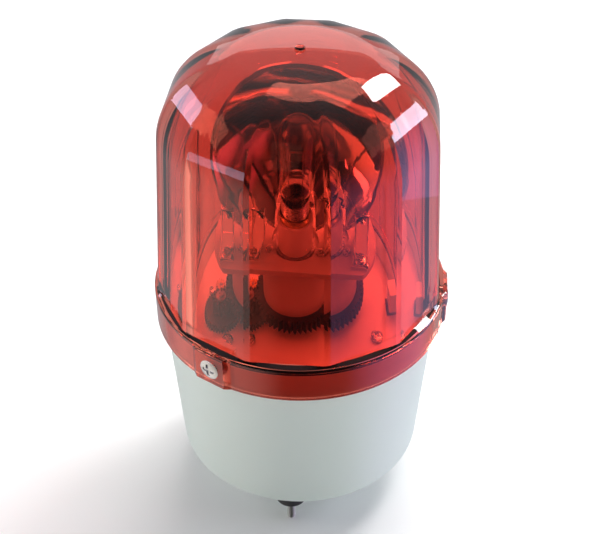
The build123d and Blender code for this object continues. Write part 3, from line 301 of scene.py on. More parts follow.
def finishes(settings):
    """All materials by the name of the record's slot."""
    white = tuple(settings.housing_white)
    made = {
        "white_housing": moulded_plastic("white_housing", white, (0.735, 0.845, 0.775), 0.37, 160.0, 1e-6),
        "white_deck": moulded_plastic("white_deck", (0.86, 0.85, 0.82), (0.74, 0.73, 0.69), 0.42),
        # white_rotor is painted shade: the white drum and plate get a grey colour that stands in for the
        # dish's shadow and the dark surroundings they reflect
        "white_rotor": moulded_plastic("white_rotor", (0.52, 0.51, 0.49), (0.42, 0.41, 0.39), 0.38),
        "red_dome": red_dome_plastic(settings),
        "black_rubber": moulded_plastic(
            "black_rubber", (0.03, 0.03, 0.032), (0.055, 0.055, 0.055), 0.62, 900.0, 2e-5
        ),
        "black_plastic": moulded_plastic("black_plastic", (0.03, 0.03, 0.033), (0.05, 0.05, 0.05), 0.5),
        "black_gear": moulded_plastic("black_gear", (0.018, 0.018, 0.02), (0.035, 0.034, 0.034), 0.35),
        "green_plastic": moulded_plastic("green_plastic", (0.05, 0.30, 0.12), (0.03, 0.22, 0.09), 0.4),
        "bright_steel": plated_metal("bright_steel", (0.78, 0.77, 0.75), (0.55, 0.54, 0.52), 0.24),
        "zinc_steel": plated_metal("zinc_steel", (0.80, 0.82, 0.74), (0.60, 0.61, 0.54), 0.42),
        "spring_steel": plated_metal("spring_steel", (0.42, 0.42, 0.43), (0.28, 0.28, 0.29), 0.3),
        "brass_parts": plated_metal("brass_parts", (0.78, 0.58, 0.27), (0.55, 0.38, 0.16), 0.3),
        "bush_bronze": plated_metal("bush_bronze", (0.62, 0.40, 0.20), (0.42, 0.26, 0.13), 0.42),
        "nickel_cap": plated_metal("nickel_cap", (0.70, 0.69, 0.66), (0.52, 0.51, 0.48), 0.25),
        "filament_wire": plated_metal("filament_wire", (0.45, 0.44, 0.42), (0.30, 0.29, 0.28), 0.35),
        "ferrite": moulded_plastic("ferrite", (0.08, 0.08, 0.085), (0.05, 0.05, 0.05), 0.7, 700.0, 4e-5),
        "ceramic_element": moulded_plastic("ceramic_element", (0.85, 0.83, 0.76), (0.7, 0.68, 0.6), 0.5),
        "laminated_core": plated_metal(
            "laminated_core", (0.33, 0.32, 0.31), (0.2, 0.19, 0.18), 0.5, (1.0, 1.0, 30.0)
        ),
        "fibre_board": moulded_plastic("fibre_board", (0.36, 0.28, 0.12), (0.25, 0.19, 0.07), 0.45),
    }
    chrome = Finish("mirror_chrome", (0.93, 0.93, 0.94), 0.04, 1.0)
    chrome.rough(chrome.noise(120.0, 5.0), 0.02, 0.09)
    chrome.bump(chrome.noise(160.0, 2.0), 0.00003)
    glass = Finish("clear_glass", (1.0, 1.0, 1.0), 0.0, IOR=1.48)
    glass.shader.inputs["Transmission Weight"].default_value = 1.0
    glass.bump(glass.noise(180.0, 1.0), 0.00002)
    let_lamps_through(glass, (0.96, 0.96, 0.96))
    made["mirror_chrome"], made["clear_glass"] = chrome, glass
    return {slot: finish.material for slot, finish in made.items()}


def material(slot):
    """Material of a slot, made by the finishes operator."""
    found = bpy.data.materials.get(slot + "_finish")
    if found is None:
        raise RuntimeError(f"finish {slot} is missing: run the finishes operator first")
    return found


def settle(piece, body, slot, *nodes):
    """Gives a piece its finish and body, and says which CAD nodes it stands for."""
    piece.data.materials.clear()
    piece.data.materials.append(material(slot))
    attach(piece, body)
    if nodes:
        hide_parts(*nodes)
    return piece


# --------------------------------------------------------------------------------------- settings
class DomeSettings(bpy.types.PropertyGroup):
    """Sizes and colours of the red dome."""

    facets: bpy.props.IntProperty(name="Facets", description="Flat sides round the dome", default=12)
    facet_columns: bpy.props.IntProperty(
        name="Columns", description="Grid columns on each flat side", default=12
    )
    foot_apothem: bpy.props.FloatProperty(
        name="Foot", description="Axis to a flat side at the ledge", default=48.5 * MM, unit="LENGTH"
    )
    draft: bpy.props.FloatProperty(
        name="Draft", description="Lean of the flat sides", default=float(np.radians(3.4)), subtype="ANGLE"
    )
    straight: bpy.props.FloatProperty(
        name="Straight", description="Ledge to the shoulder's centre", default=57.6 * MM, unit="LENGTH"
    )
    shoulder: bpy.props.FloatProperty(
        name="Shoulder", description="Radius of the shoulder", default=29.0 * MM, unit="LENGTH"
    )
    crown: bpy.props.FloatProperty(
        name="Crown", description="Radius of the crown", default=198 * MM, unit="LENGTH"
    )
    wall: bpy.props.FloatProperty(
        name="Wall", description="Wall at a flat side", default=2.5 * MM, unit="LENGTH"
    )
    dome_red: bpy.props.FloatVectorProperty(
        name="Red", description="Colour of the dome", default=(1.0, 0.245, 0.175), subtype="COLOR", size=3
    )
    dome_lamp_tint: bpy.props.FloatVectorProperty(
        name="Lamp tint",
        description="Colour of lamp light let in",
        default=(0.76, 0.36, 0.31),
        subtype="COLOR",
        size=3,
    )
    housing_white: bpy.props.FloatVectorProperty(
        name="White", description="Colour of the housing", default=(0.75, 0.86, 0.79), subtype="COLOR", size=3
    )


class FittingSettings(bpy.types.PropertyGroup):
    """Sizes of the threads, screws, mirror and lamp."""

    thread_pitch: bpy.props.FloatProperty(
        name="Pitch", description="Pitch of the studs", default=0.5 * MM, unit="LENGTH"
    )
    mirror_focus: bpy.props.FloatProperty(
        name="Focus", description="Focal length of the mirror", default=14.5 * MM, unit="LENGTH"
    )
    mirror_wall: bpy.props.FloatProperty(
        name="Mirror wall", description="Wall of the mirror", default=1.5 * MM, unit="LENGTH"
    )
    coil_turns: bpy.props.IntProperty(
        name="Coil turns", description="Turns of the lamp's filament", default=14
    )


class StageSettings(bpy.types.PropertyGroup):
    """Camera and lights."""

    azimuth: bpy.props.FloatProperty(
        name="Azimuth",
        description="Camera's turn from the front",
        default=float(np.radians(5)),
        subtype="ANGLE",
    )
    elevation: bpy.props.FloatProperty(
        name="Elevation",
        description="Camera above the horizon",
        default=float(np.radians(37)),
        subtype="ANGLE",
    )
    distance: bpy.props.FloatProperty(
        name="Distance", description="Camera to its target", default=0.408, unit="LENGTH"
    )
    target_height: bpy.props.FloatProperty(
        name="Target", description="Height of the target", default=0.0803, unit="LENGTH"
    )
    floor: bpy.props.FloatVectorProperty(
        name="Floor", description="Colour of the floor", default=(0.93, 0.93, 0.93), subtype="COLOR", size=3
    )


# ------------------------------------------------------------------------------------------- dome
def dome_profile(s, inset, rows):
    """Half outline of the dome in (distance, height): leaning side, shoulder arc, then the crown's arc.

    The shoulder's centre stands one shoulder radius inside the leaning side, and the crown is tangent to it.
    """
    ledge = SKIRT_LOW_Z + SKIRT_H
    lean = np.tan(s.draft)
    cx = s.foot_apothem - lean * s.straight - s.shoulder / np.cos(s.draft)
    cz = ledge + s.straight
    reach = s.crown - s.shoulder
    crown_z = cz - np.sqrt(reach**2 - cx**2)
    turn = np.degrees(np.arcsin(cx / reach))
    shoulder = arc((cx, cz), s.shoulder - inset, np.degrees(s.draft), 90 - turn, rows)
    crown = arc((0.0, crown_z), s.crown - inset, 90 - turn, 90, rows // 2)[1:]
    foot_z = ledge - SKIRT_WALL
    foot = [s.foot_apothem + lean * SKIRT_WALL - inset / np.cos(s.draft), foot_z]
    side = np.linspace(foot, shoulder[0], rows)[:-1]
    return np.vstack([side, shoulder, crown])


def dome_surface(s):
    """Faceted outside and round inside as one closed skin.

    Outside, a point's distance from the axis is the outline's distance over the cosine of its angle from the
    middle of its flat side. The facets fade to round towards the top. The skirt is a ring with three pads.
    """
    per = s.facet_columns
    columns = s.facets * per
    turns = (np.arange(columns) + 0.5) * 2 * PI / columns - PI / s.facets
    off = (turns + PI / s.facets) % (2 * PI / s.facets) - PI / s.facets
    rows = 40
    outline = dome_profile(s, 0.0, rows)
    inner = dome_profile(s, s.wall, rows)
    lug_face = node_high("dome_lens")[0]
    bore_r = SKIRT_R - SKIRT_WALL
    edge = SKIRT_EDGE
    top = SKIRT_LOW_Z + SKIRT_H
    lug_off = (turns + PI / 3) % (2 * PI / 3) - PI / 3
    on_lug = np.abs(np.sin(lug_off) * lug_face) < LUG_HALF_WIDTH
    pad_r = np.where(on_lug, lug_face / np.cos(lug_off), SKIRT_R)
    rings = []

    def ring(radius, z):
        """Adds one row of points at a height."""
        radius = np.broadcast_to(radius, columns)
        rings.append(np.stack([radius * np.cos(turns), radius * np.sin(turns), np.full(columns, z)], axis=-1))

    fade_start = outline[-1, 1] - 4.0 * MM
    crown_rows = outline[:-1]
    foot_row = np.searchsorted(outline[:rows, 1], top)
    ring(bore_r, SKIRT_LOW_Z)
    ring(pad_r - edge, SKIRT_LOW_Z)
    for turn in np.radians([30, 60, 90]):
        ring(pad_r - edge + edge * np.sin(turn), SKIRT_LOW_Z + edge - edge * np.cos(turn))
    for turn in np.radians([0, 30, 60, 90]):
        ring(pad_r - edge + edge * np.cos(turn), top - edge + edge * np.sin(turn))
    ring(SKIRT_R - edge, top)
    for distance, z in crown_rows[foot_row:]:
        share = np.clip((z - fade_start) / (outline[-1, 1] - fade_start), 0, 1)
        share = share * share * (3 - 2 * share)
        facet = distance / np.cos(off)
        ring(facet * (1 - share) + distance * share, z)
    mark_z = CAD_BOX[1][2]
    ring(GATE_MARK_R, outline[-1, 1])
    ring(GATE_MARK_R, mark_z - 0.4 * MM)
    ring(GATE_MARK_R * 0.75, mark_z)
    outside_rows = len(rings)
    for distance, z in inner[::-1][1:]:
        ring(distance, z)
    ring(bore_r, inner[0, 1])
    points = np.concatenate(rings)
    grid = grid_faces(outside_rows, columns)
    inside_rows = len(rings) - outside_rows
    grid += grid_faces(inside_rows, columns, start=outside_rows * columns)
    high = len(points)
    inner_high = high + 1
    points = np.vstack([points, [0, 0, mark_z], [0, 0, inner[-1, 1]]])
    last = (outside_rows - 1) * columns
    first = outside_rows * columns
    end = (len(rings) - 1) * columns
    following = (np.arange(columns) + 1) % columns
    grid += [[high, last + c, last + following[c]] for c in range(columns)]
    grid += [[inner_high, first + following[c], first + c] for c in range(columns)]
    grid += [[end + c, end + following[c], following[c], c] for c in range(columns)]
    return points, grid


class WARNING_OT_dome(bpy.types.Operator):
    """Red dome with its skirt, lugs and gate mark."""

    bl_idname = "warning_light.dome"
    bl_label = "Red dome"

    def execute(self, context):
        points, faces = dome_surface(context.scene.warning_dome)
        piece = mesh_piece("red_dome", points, faces, sharp=12.0)
        settle(piece, "housing", "red_dome", "dome_lens")
        return {"FINISHED"}


# -------------------------------------------------------------------------------- screws and studs
def cross_head(radius, height, crown, plane_x, plane_y, normal, centre, shank_r, length, cone=0.0):
    """Cross-headed screw on any axis.

    The head's height falls off as the square of the distance from its middle, and drops by a smooth step
    inside the two arms of the cross. Below it come the cone or the flat underside, and the shank.
    """
    columns, rows = 96, 22
    turns = polar_columns(columns)
    share = np.linspace(0.04, 1.0, rows)[::-1]
    r = radius * share[:, None] * np.ones(columns)
    u, v = r * np.cos(turns), r * np.sin(turns)
    arm, reach = radius * 0.15, radius * 0.62

    def step(value, edge):
        """Smooth step from 1 inside an arm's edge to 0 outside it."""
        return 1 / (1 + np.exp((np.abs(value) - edge) / (radius * 0.018)))

    cross = np.maximum(step(u, arm) * step(v, reach), step(v, arm) * step(u, reach))
    depth = np.minimum(height + crown, radius * 0.55) * (1 - 0.5 * r / reach)
    w = height + crown * (1 - (r / radius) ** 2) - cross * np.clip(depth, 0, None)
    under = [(radius, height * 0.2), (radius * 0.97, 0.0)] if not cone else [(radius, 0.0)]
    tail = [(shank_r, -cone if cone else 0.0), (shank_r, -length + shank_r * 0.4), (shank_r * 0.6, -length)]
    outer = np.array(under + tail)[::-1]
    low = np.stack(
        [outer[:, 0][:, None] * np.cos(turns), outer[:, 0][:, None] * np.sin(turns)]
        + [np.repeat(outer[:, 1][:, None], columns, axis=1)],
        axis=-1,
    )
    grid = np.concatenate([low, np.stack([u, v, w], axis=-1)])
    points = grid.reshape(-1, 3)
    faces = grid_faces(len(grid), columns)
    faces += closing_fans(len(grid), columns, len(points), len(points) + 1)
    points = np.vstack([points, [0, 0, -length], [0, 0, w[-1].mean()]])
    axes = np.array([plane_x, plane_y, normal])
    return points @ axes + np.asarray(centre), faces


def upright_screws(node, head_r, head_h, shank_r, spin=0.5):
    """Pan-headed screws at the middles of a CAD node's separate solids, each turned its own way."""
    mesh = NODES[node].data
    co = np.zeros(len(mesh.vertices) * 3)
    mesh.vertices.foreach_get("co", co)
    co = co.reshape(-1, 3)
    top = co[:, 2].max()
    low = co[:, 2].min()
    heads = co[co[:, 2] > top - head_h * 0.7]
    centres = []
    for point in heads:
        if all(np.hypot(*(point[:2] - c)) > 2.2 * head_r for c in centres):
            centres.append(point[:2])
    made = []
    for k, seed in enumerate(centres):
        near = heads[np.hypot(*(heads[:, :2] - seed).T) < 2.2 * head_r]
        middle = (near[:, :2].min(axis=0) + near[:, :2].max(axis=0)) / 2
        turn = spin + k * 1.1
        x, y = (np.cos(turn), np.sin(turn), 0), (-np.sin(turn), np.cos(turn), 0)
        crown = head_h * 0.35
        seat = top - head_h
        made.append(
            cross_head(head_r, head_h - crown, crown, x, y, (0, 0, 1), (*middle, seat), shank_r, seat - low)
        )
    return joined(made)


class WARNING_OT_screws(bpy.types.Operator):
    """Cross-headed screws of the dome, the deck and the rotor."""

    bl_idname = "warning_light.screws"
    bl_label = "Screws"

    def execute(self, context):
        face = node_high("dome_lens")[0]
        z = node_middle("dome_screws")[2]
        made = []
        for k in range(3):
            turn = 2 * PI * k / 3
            out = np.array([np.cos(turn), np.sin(turn), 0.0])
            side = np.array([-np.sin(turn), np.cos(turn), 0.0])
            lean = 0.25 + 0.7 * k
            x = side * np.cos(lean) + np.array([0, 0, 1.0]) * np.sin(lean)
            y = np.cross(out, x)
            centre = out * face + np.array([0, 0, z])
            head = cross_head(
                3.6 * MM, 0.1 * MM, 0.7 * MM, x, y, out, centre, 1.75 * MM, 12 * MM, cone=1.85 * MM
            )
            made.append(head)
        points, faces = joined(made)
        piece = mesh_piece("dome_screw_set", points, faces, sharp=35)
        settle(piece, "housing", "bright_steel", "dome_screws")
        upright = (
            ("deck_screws", "housing", 2.9 * MM, 1.8 * MM, 1.5 * MM),
            ("reflector_screws", "rotor", 2.5 * MM, 1.3 * MM, 1.1 * MM),
            ("plate_screws", "rotor", 2.0 * MM, 1.3 * MM, 1.1 * MM),
            ("motor_screws", "housing", 2.0 * MM, 1.3 * MM, 1.1 * MM),
            ("column_screws", "housing", 2.0 * MM, 1.3 * MM, 1.1 * MM),
        )
        for node, body, head_r, head_h, shank_r in upright:
            points, faces = upright_screws(node, head_r, head_h, shank_r)
            settle(mesh_piece(node + "_set", points, faces, sharp=35), body, "bright_steel", node)
        return {"FINISHED"}


class WARNING_OT_studs(bpy.types.Operator):
    """Threaded studs and rubber feet."""

    bl_idname = "warning_light.studs"
    bl_label = "Studs and feet"

    def execute(self, context):
        s = context.scene.warning_fittings
        circle = -node_low("rubber_feet")[1] - FOOT_R
        foot_h = node_high("rubber_feet")[2] - FOOT_Z
        low, high = LIGHT_LOW_Z, node_high("mounting_studs")[2]
        head_low = high - STUD_HEAD_H
        studs, feet = [], []
        for k in range(3):
            turn = np.radians(30 + 120 * k)
            centre = (circle * np.cos(turn), circle * np.sin(turn))
            studs.append(threaded_stud(centre, low, head_low, STUD_R, s.thread_pitch))
            studs.append(hex_head(centre, head_low, high, STUD_HEX / 2 / np.cos(PI / 6)))
            feet.append(rubber_foot(centre, FOOT_R, foot_h))
        piece = mesh_piece("threaded_studs", *joined(studs), sharp=50)
        settle(piece, "housing", "zinc_steel", "mounting_studs")
        piece = mesh_piece("rubber_foot_set", *joined(feet), sharp=50)
        settle(piece, "housing", "black_rubber", "rubber_feet")
        return {"FINISHED"}


def threaded_stud(centre, low, high, radius, pitch):
    """Stud whose radius is a triangle wave of height over pitch less turn, fading out at both ends."""
    columns = 24
    z = np.arange(low + THREAD_DEPTH, high, pitch / 6)
    turns = polar_columns(columns)
    phase = (z[:, None] / pitch - turns / (2 * PI)) % 1.0
    wave = np.abs(2 * phase - 1)
    ends = np.clip((z - z[0]) / pitch, 0.0, 1.0)[:, None]
    r = radius - THREAD_DEPTH * (1 - wave * ends)
    x, y = centre[0] + r * np.cos(turns), centre[1] + r * np.sin(turns)
    grid = np.stack([x, y, np.repeat(z[:, None], columns, axis=1)], axis=-1)
    tip = turned_points([[radius * 0.62, low]], columns, centre)
    shoulder = turned_points([[radius, high]], columns, centre)
    grid = np.concatenate([tip, grid, shoulder])
    points = np.vstack([grid.reshape(-1, 3), [centre[0], centre[1], low], [centre[0], centre[1], high]])
    faces = grid_faces(len(grid), columns)
    return points, faces + closing_fans(len(grid), columns, len(points) - 2, len(points) - 1)


def hex_head(centre, low, high, corner_r):
    """Six-sided head: the turned solid with six columns."""
    return turned_solid([[corner_r, low], [corner_r, high - 0.3 * MM], [corner_r * 0.93, high]], 6, centre)


def rubber_foot(centre, radius, height):
    """Soft foot round the stud: a deep rim over a short cone that narrows downwards, with rounded edges."""
    low = arc((FOOT_TIP_R - 0.6 * MM, FOOT_Z + 0.6 * MM), 0.6 * MM, -90, -40, 5)
    swell = arc((radius - 1.0 * MM, FOOT_Z + 2.3 * MM), 1.0 * MM, -50, 0, 7)
    top = arc((radius - 0.25 * MM, FOOT_Z + height - 0.25 * MM), 0.25 * MM, 0, 90, 5)
    profile = np.vstack([[[FOOT_BORE_R, FOOT_Z]], low, swell, top, [[FOOT_BORE_R, FOOT_Z + height]]])
    return turned_ring(profile, 64, centre)


# ----------------------------------------------------------------------------------- mirror and lamp
class WARNING_OT_mirror(bpy.types.Operator):
    """Parabolic mirror with its rim, legs and foot pads."""

    bl_idname = "warning_light.mirror"
    bl_label = "Mirror"

    def execute(self, context):
        s = context.scene.warning_fittings
        low, high = node_low("reflector"), node_high("reflector")
        rim_r = high[0]
        dish_r = rim_r - MIRROR_LIP
        centre_z = high[2] - rim_r
        mouth_y = s.mirror_focus - dish_r**2 / (4 * s.mirror_focus)
        columns = 192
        turns = polar_columns(columns)
        inner_r = np.linspace(0.4 * MM, dish_r, 64)
        inner_y = s.mirror_focus - inner_r**2 / (4 * s.mirror_focus)
        front = np.stack([inner_r, inner_y], axis=-1)
        lip = [[rim_r, mouth_y], [rim_r, mouth_y + s.mirror_wall], [dish_r, mouth_y + s.mirror_wall]]
        back = np.stack([inner_r, inner_y + s.mirror_wall], axis=-1)[::-1][1:]
        profile = np.vstack([front, lip, back])
        r, y = profile[:, 0][:, None], profile[:, 1][:, None]
        grid = np.stack(
            [r * np.cos(turns), np.repeat(y, columns, axis=1), centre_z + r * np.sin(turns)], axis=-1
        )
        points = np.vstack(
            [
                grid.reshape(-1, 3),
                [0, s.mirror_focus, centre_z],
                [0, s.mirror_focus + s.mirror_wall, centre_z],
            ]
        )
        faces = grid_faces(len(grid), columns)
        faces += closing_fans(len(grid), columns, len(points) - 2, len(points) - 1)
        piece = mesh_piece("mirror_dish", points, faces, sharp=30)
        way = [[LAMP_WAY_R, low[2] - 1 * MM], [LAMP_WAY_R, centre_z - s.mirror_focus / 2]]
        cutter = mesh_piece("lamp_way", *turned_solid(way, 96), sharp=30)
        cut = piece.modifiers.new("lamp_way", "BOOLEAN")
        cut.operation, cut.solver, cut.object = "DIFFERENCE", "EXACT", cutter
        apply_modifiers(piece)
        bpy.data.objects.remove(cutter)
        settle(piece, "rotor", "mirror_chrome")
        brackets = mirror_brackets(low, mouth_y, centre_z, dish_r)
        settle(brackets, "rotor", "mirror_chrome", "reflector")
        return {"FINISHED"}


def apply_modifiers(piece):
    """Bakes a piece's modifiers into its mesh, and keeps its smooth shading."""
    graph = bpy.context.evaluated_depsgraph_get()
    mesh = bpy.data.meshes.new_from_object(piece.evaluated_get(graph))
    piece.modifiers.clear()
    piece.data = mesh
    mesh.shade_smooth()
    mesh.set_sharp_from_angle(angle=np.radians(30))


def block(low, high, round_by):
    """Box with rounded edges: a cube's grid, pulled in to the box less the rounding, then pushed out."""
    count = 9
    line = np.linspace(-1, 1, count)
    a, b = np.meshgrid(line, line, indexing="ij")
    ones = np.ones_like(a)
    sides = [(a, b, ones), (b, a, -ones), (b, ones, a), (a, -ones, b), (ones, a, b), (-ones, b, a)]
    low, high = np.asarray(low), np.asarray(high)
    middle, half = (low + high) / 2, (high - low) / 2
    made = []
    for side in sides:
        cube = np.stack(side, axis=-1).reshape(-1, 3)
        spread = np.sign(cube) * np.abs(cube) ** 0.35
        core = np.clip(spread * half, -(half - round_by), half - round_by)
        away = spread * half - core
        length = np.linalg.norm(away, axis=1, keepdims=True)
        points = middle + core + away / np.maximum(length, 1e-9) * np.minimum(length, round_by)
        r, c = np.meshgrid(np.arange(count - 1), np.arange(count - 1), indexing="ij")
        first = (r * count + c).ravel()
        faces = np.stack([first, first + count, first + count + 1, first + 1], axis=-1).tolist()
        made.append((points, faces))
    return joined(made)


def mirror_brackets(low, mouth_y, centre_z, dish_r):
    """Two legs from the foot pads up to the dish, with rounded edges."""
    made = []
    for sign in (-1, 1):
        x0, x1 = sorted((sign * (LEG_X - LEG_WIDTH / 2), sign * (LEG_X + LEG_WIDTH / 2)))
        back = mouth_y + 7.0 * MM
        top = centre_z - np.sqrt(dish_r**2 - LEG_X**2) - 0.6 * MM
        made.append(block((x0, low[1], low[2]), (x1, back, low[2] + 2 * MM), LEG_ROUNDING))
        made.append(block((x0, mouth_y, low[2] + 1.5 * MM), (x1, mouth_y + 4 * MM, top), LEG_ROUNDING))
    points, faces = joined(made)
    return mesh_piece("mirror_legs", points, faces, sharp=50)


class WARNING_OT_lamp(bpy.types.Operator):
    """Lamp: glass envelope and coiled filament on its two wires."""

    bl_idname = "warning_light.lamp"
    bl_label = "Lamp"

    def execute(self, context):
        s = context.scene.warning_fittings
        low, high = node_low("bulb_glass"), node_high("bulb_glass")
        radius, neck = high[0], GLASS_NECK_R
        swell = node_high("bulb_cap")[2]

        def envelope(inset):
            """Half outline of the glass, drawn in by an inset: neck, flare and round top."""
            share = np.linspace(0, 1, 14)
            step = (1 - np.cos(PI * share)) / 2
            flare = np.stack([neck - inset + (radius - neck) * step, swell + GLASS_FLARE_H * share], axis=-1)
            top = arc((0.0, high[2] - radius), radius - inset, 0, 88.5, 20)
            return np.vstack([[[neck - inset, low[2] + inset]], flare, top])

        outer, outer_faces = turned_solid(envelope(0.0), 96)
        inner, inner_faces = turned_solid(envelope(GLASS_WALL), 96)
        inner_faces = [face[::-1] for face in inner_faces]
        points, faces = joined([(outer, outer_faces), (inner, inner_faces)])
        settle(mesh_piece("lamp_glass", points, faces, sharp=50), "housing", "clear_glass", "bulb_glass")
        piece = mesh_piece("lamp_filament", *filament(s, node_low("bulb_filament"), MIRROR_Z), sharp=50)
        settle(piece, "housing", "filament_wire", "bulb_filament")
        return {"FINISHED"}


def tube(path, radius, columns=8):
    """Closed tube: a circle carried along a path of points, square to its direction."""
    path = np.asarray(path, float)
    ahead = np.gradient(path, axis=0)
    ahead /= np.linalg.norm(ahead, axis=1, keepdims=True)
    side = np.cross(ahead, (0.12, 0.95, 0.28))
    side /= np.linalg.norm(side, axis=1, keepdims=True)
    up = np.cross(side, ahead)
    turns = polar_columns(columns)[None, :, None]
    grid = path[:, None, :] + radius * (np.cos(turns) * side[:, None, :] + np.sin(turns) * up[:, None, :])
    points = np.vstack([grid.reshape(-1, 3), path[0], path[-1]])
    faces = grid_faces(len(path), columns)
    faces += closing_fans(len(path), columns, len(points) - 2, len(points) - 1)
    return points, [face[::-1] for face in faces]


def filament(s, low, z):
    """Two wires that rise to the focus and a helix between them."""
    reach = FILAMENT_REACH
    t = np.linspace(0, 1, s.coil_turns * 12)
    angle = t * 2 * PI * s.coil_turns
    x = -reach + 2 * reach * t
    coil = np.stack([x, COIL_R * np.cos(angle), z + COIL_R * np.sin(angle)], axis=-1)
    made = [tube(coil, COIL_WIRE_R, 6)]
    for sign in (-1, 1):
        rise = np.linspace(low[2], z, 20)
        bow = 0.5 * MM * np.sin(np.linspace(0, PI, 20))
        wire = np.stack([sign * (reach + bow), np.zeros(20), rise], axis=-1)
        made.append(tube(wire, LEAD_R, 8))
    bridge_z = low[2] + 0.55 * (z - low[2])
    line = np.linspace(-reach - 0.4 * MM, reach + 0.4 * MM, 10)
    made.append(tube(np.stack([line, np.zeros(10), np.full(10, bridge_z)], axis=-1), BRIDGE_R, 12))
    return joined(made)


# ------------------------------------------------------------------------------- finishes and stage
class WARNING_OT_finishes(bpy.types.Operator):
    """All finishes, put on the CAD nodes that stay."""

    bl_idname = "warning_light.finishes"
    bl_label = "Finishes"

    def execute(self, context):
        made = finishes(context.scene.warning_dome)
        for subpart in frame["record"]["subparts"]:
            node = NODES[subpart["node"]]
            for place in node.material_slots:
                place.material = made[subpart["material_slot"]]
        return {"FINISHED"}


def area_lamp(name, target, azimuth, elevation, distance, size, power, colour, mirrored):
    """Rectangular lamp at an azimuth and elevation from a target, facing it."""
    a, e = np.radians(azimuth), np.radians(elevation)
    back = np.array([np.sin(a) * np.cos(e), -np.cos(a) * np.cos(e), np.sin(e)])
    lamp = bpy.data.lights.new(name, "AREA")
    lamp.shape = "RECTANGLE"
    lamp.size, lamp.size_y = size
    lamp.energy = power
    lamp.color = colour
    holder = bpy.data.objects.new(name, lamp)
    bpy.context.collection.objects.link(holder)
    holder.visible_glossy = mirrored
    holder.location = np.asarray(target) + back * distance
    holder.rotation_mode = "QUATERNION"
    holder.rotation_quaternion = Vector(-back).to_track_quat("-Z", "Y")
    return holder


# name, target, azimuth, elevation, distance, width and height, power, colour, mirrored by glossy surfaces
LAMPS = (
    ("key_panel", (0.0, 0.0, 0.08), 165, 60, 0.9, (0.6, 0.5), 5.6, (1.0, 0.98, 0.96), False),
    ("side_left", (0.0, 0.0, 0.08), -85, 28, 0.9, (0.4, 0.4), 1.7, (1.0, 1.0, 0.88), False),
    ("side_right", (0.0, 0.0, 0.08), 85, 26, 0.9, (0.4, 0.4), 1.15, (0.84, 0.92, 1.0), False),
    ("front_fill", (0.0, 0.0, 0.08), -10, 35, 1.0, (0.6, 0.6), 0.8, (0.96, 1.0, 0.96), False),
    ("window_right", (0.03, -0.01, 0.1526), 142, 40, 0.8, (0.26, 0.17), 3.2, (1.0, 1.0, 1.0), True),
    ("window_side", (0.035, -0.02, 0.1506), 113, 15, 0.8, (0.16, 0.20), 1.3, (0.80, 0.80, 1.0), True),
    ("window_left", (-0.03, -0.02, 0.1526), -118, 13, 0.8, (0.16, 0.22), 0.6, (0.80, 0.72, 1.0), True),
    ("strip_left", (-0.02, -0.045, 0.1226), -63, 1, 0.7, (0.30, 0.11), 0.32, (0.85, 0.72, 1.0), True),
    ("violet_right", (0.03, -0.02, 0.11), 110, -6, 0.7, (0.36, 0.60), 0.50, (0.62, 0.38, 1.0), True),
    ("back_panel", (0.0, 0.0, 0.16), 180, 20, 1.1, (1.2, 0.24), 1.0, (1.0, 0.94, 0.95), True),
)

# direction in the room, colour, strength: soft glows that glossy pieces mirror
GLOWS = (
    ((-0.73, -0.34, -0.60), (1.0, 0.93, 0.85), 0.85),
    ((0.93, -0.05, -0.36), (0.60, 0.36, 1.0), 0.9),
)


def studio_air(tree):
    """Room that is dim at the front and pale at the back, with a soft glow at each side."""
    where = tree.nodes.new("ShaderNodeTexCoord").outputs["Generated"]
    parts = tree.nodes.new("ShaderNodeSeparateXYZ")
    tree.links.new(where, parts.inputs[0])
    ramp = tree.nodes.new("ShaderNodeMapRange")
    ramp.inputs["From Min"].default_value = -0.75
    ramp.inputs["From Max"].default_value = 0.35
    ramp.inputs["To Min"].default_value = 0.03
    ramp.inputs["To Max"].default_value = 0.5
    tree.links.new(parts.outputs["Y"], ramp.inputs["Value"])
    tree.links.new(ramp.outputs[0], tree.nodes["Background"].inputs["Strength"])
    tree.nodes["Background"].inputs["Color"].default_value = (0.95, 0.95, 1.0, 1.0)
    surface = tree.nodes["Background"].outputs[0]
    for direction, colour, strength in GLOWS:
        towards = tree.nodes.new("ShaderNodeVectorMath")
        towards.operation = "DOT_PRODUCT"
        towards.inputs[1].default_value = direction
        tree.links.new(where, towards.inputs[0])
        fall = tree.nodes.new("ShaderNodeMapRange")
        fall.interpolation_type = "SMOOTHSTEP"
        fall.inputs["From Min"].default_value = 0.70
        fall.inputs["From Max"].default_value = 0.97
        fall.inputs["To Max"].default_value = strength
        tree.links.new(towards.outputs["Value"], fall.inputs["Value"])
        glow = tree.nodes.new("ShaderNodeBackground")
        glow.inputs["Color"].default_value = (*colour, 1.0)
        tree.links.new(fall.outputs[0], glow.inputs["Strength"])
        both = tree.nodes.new("ShaderNodeAddShader")
        tree.links.new(surface, both.inputs[0])
        tree.links.new(glow.outputs[0], both.inputs[1])
        surface = both.outputs[0]
    tree.links.new(surface, tree.nodes["World Output"].inputs["Surface"])


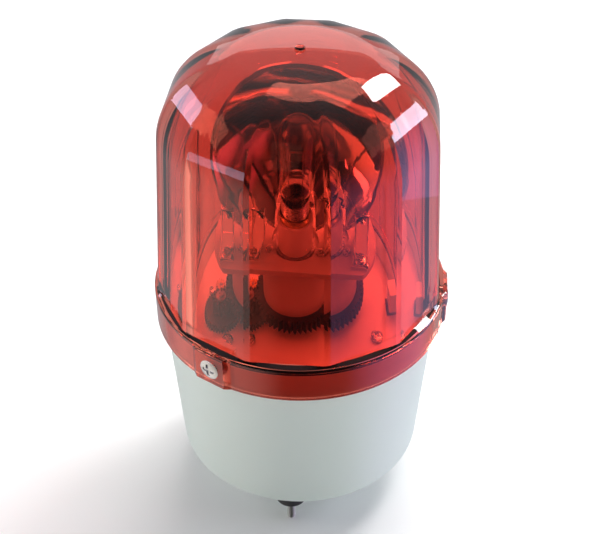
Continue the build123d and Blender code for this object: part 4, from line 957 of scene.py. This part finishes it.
class WARNING_OT_stage(bpy.types.Operator):
    """Pale floor, soft lamps and the camera."""

    bl_idname = "warning_light.stage"
    bl_label = "Stage"

    def execute(self, context):
        s = context.scene.warning_stage
        scene = context.scene
        scene.view_settings.view_transform = "Standard"
        half = 3.0
        corners = np.array([[-half, -half, 0], [half, -half, 0], [half, half, 0], [-half, half, 0]])
        corners[:, 2] = LIGHT_LOW_Z
        floor = mesh_piece("studio_floor", corners, [[0, 1, 2, 3]])
        finish = Finish("studio_floor", tuple(s.floor), 0.6)
        finish.rough(finish.noise(8.0), 0.5, 0.7)
        floor.data.materials.append(finish.material)
        floor.visible_glossy = False
        floor.visible_transmission = False
        world = bpy.data.worlds.new("studio_air")
        world.use_nodes = True
        studio_air(world.node_tree)
        scene.world = world
        target = (0.0, 0.0, s.target_height)
        for lamp in LAMPS:
            area_lamp(*lamp)
        a, e = s.azimuth, s.elevation
        back = Vector((np.sin(a) * np.cos(e), -np.cos(a) * np.cos(e), np.sin(e)))
        lens = bpy.data.cameras.new("view_camera")
        lens.sensor_width = CAMERA_SENSOR
        lens.lens = CAMERA_LENS
        lens.shift_y = CAMERA_SHIFT
        camera = bpy.data.objects.new("view_camera", lens)
        context.collection.objects.link(camera)
        camera.location = Vector(target) + back * s.distance
        camera.rotation_mode = "QUATERNION"
        camera.rotation_quaternion = (-back).to_track_quat("-Z", "Y")
        lens.clip_start, lens.clip_end = 0.01, 20.0
        scene.camera = camera
        return {"FINISHED"}


class WARNING_PT_panel(bpy.types.Panel):
    """Sidebar panel with the sizes, colours and steps."""

    bl_idname = "WARNING_PT_panel"
    bl_label = "Warning light"
    bl_space_type = "VIEW_3D"
    bl_region_type = "UI"
    bl_category = "Warning light"

    def draw(self, context):
        for group in ("warning_dome", "warning_fittings", "warning_stage"):
            settings = getattr(context.scene, group)
            box = self.layout.box()
            for label in settings.__annotations__:
                box.prop(settings, label)
        for step in STEPS:
            self.layout.operator(step.bl_idname)


STEPS = (
    WARNING_OT_finishes,
    WARNING_OT_stage,
    WARNING_OT_dome,
    WARNING_OT_screws,
    WARNING_OT_studs,
    WARNING_OT_mirror,
    WARNING_OT_lamp,
)
GROUPS = {
    "warning_dome": DomeSettings,
    "warning_fittings": FittingSettings,
    "warning_stage": StageSettings,
}


def register():
    """Registers the settings, the operators and the panel."""
    for group in GROUPS.values():
        bpy.utils.register_class(group)
    for name, group in GROUPS.items():
        setattr(bpy.types.Scene, name, bpy.props.PointerProperty(type=group))
    for step in (*STEPS, WARNING_PT_panel):
        bpy.utils.register_class(step)


def unregister():
    """Takes back what register did."""
    for step in (*STEPS, WARNING_PT_panel):
        bpy.utils.unregister_class(step)
    for name, group in GROUPS.items():
        delattr(bpy.types.Scene, name)
        bpy.utils.unregister_class(group)


def main():
    """Runs every step in order."""
    register()
    for step in STEPS:
        group, name = step.bl_idname.split(".")
        getattr(getattr(bpy.ops, group), name)()


if __name__ == "__main__":
    main()
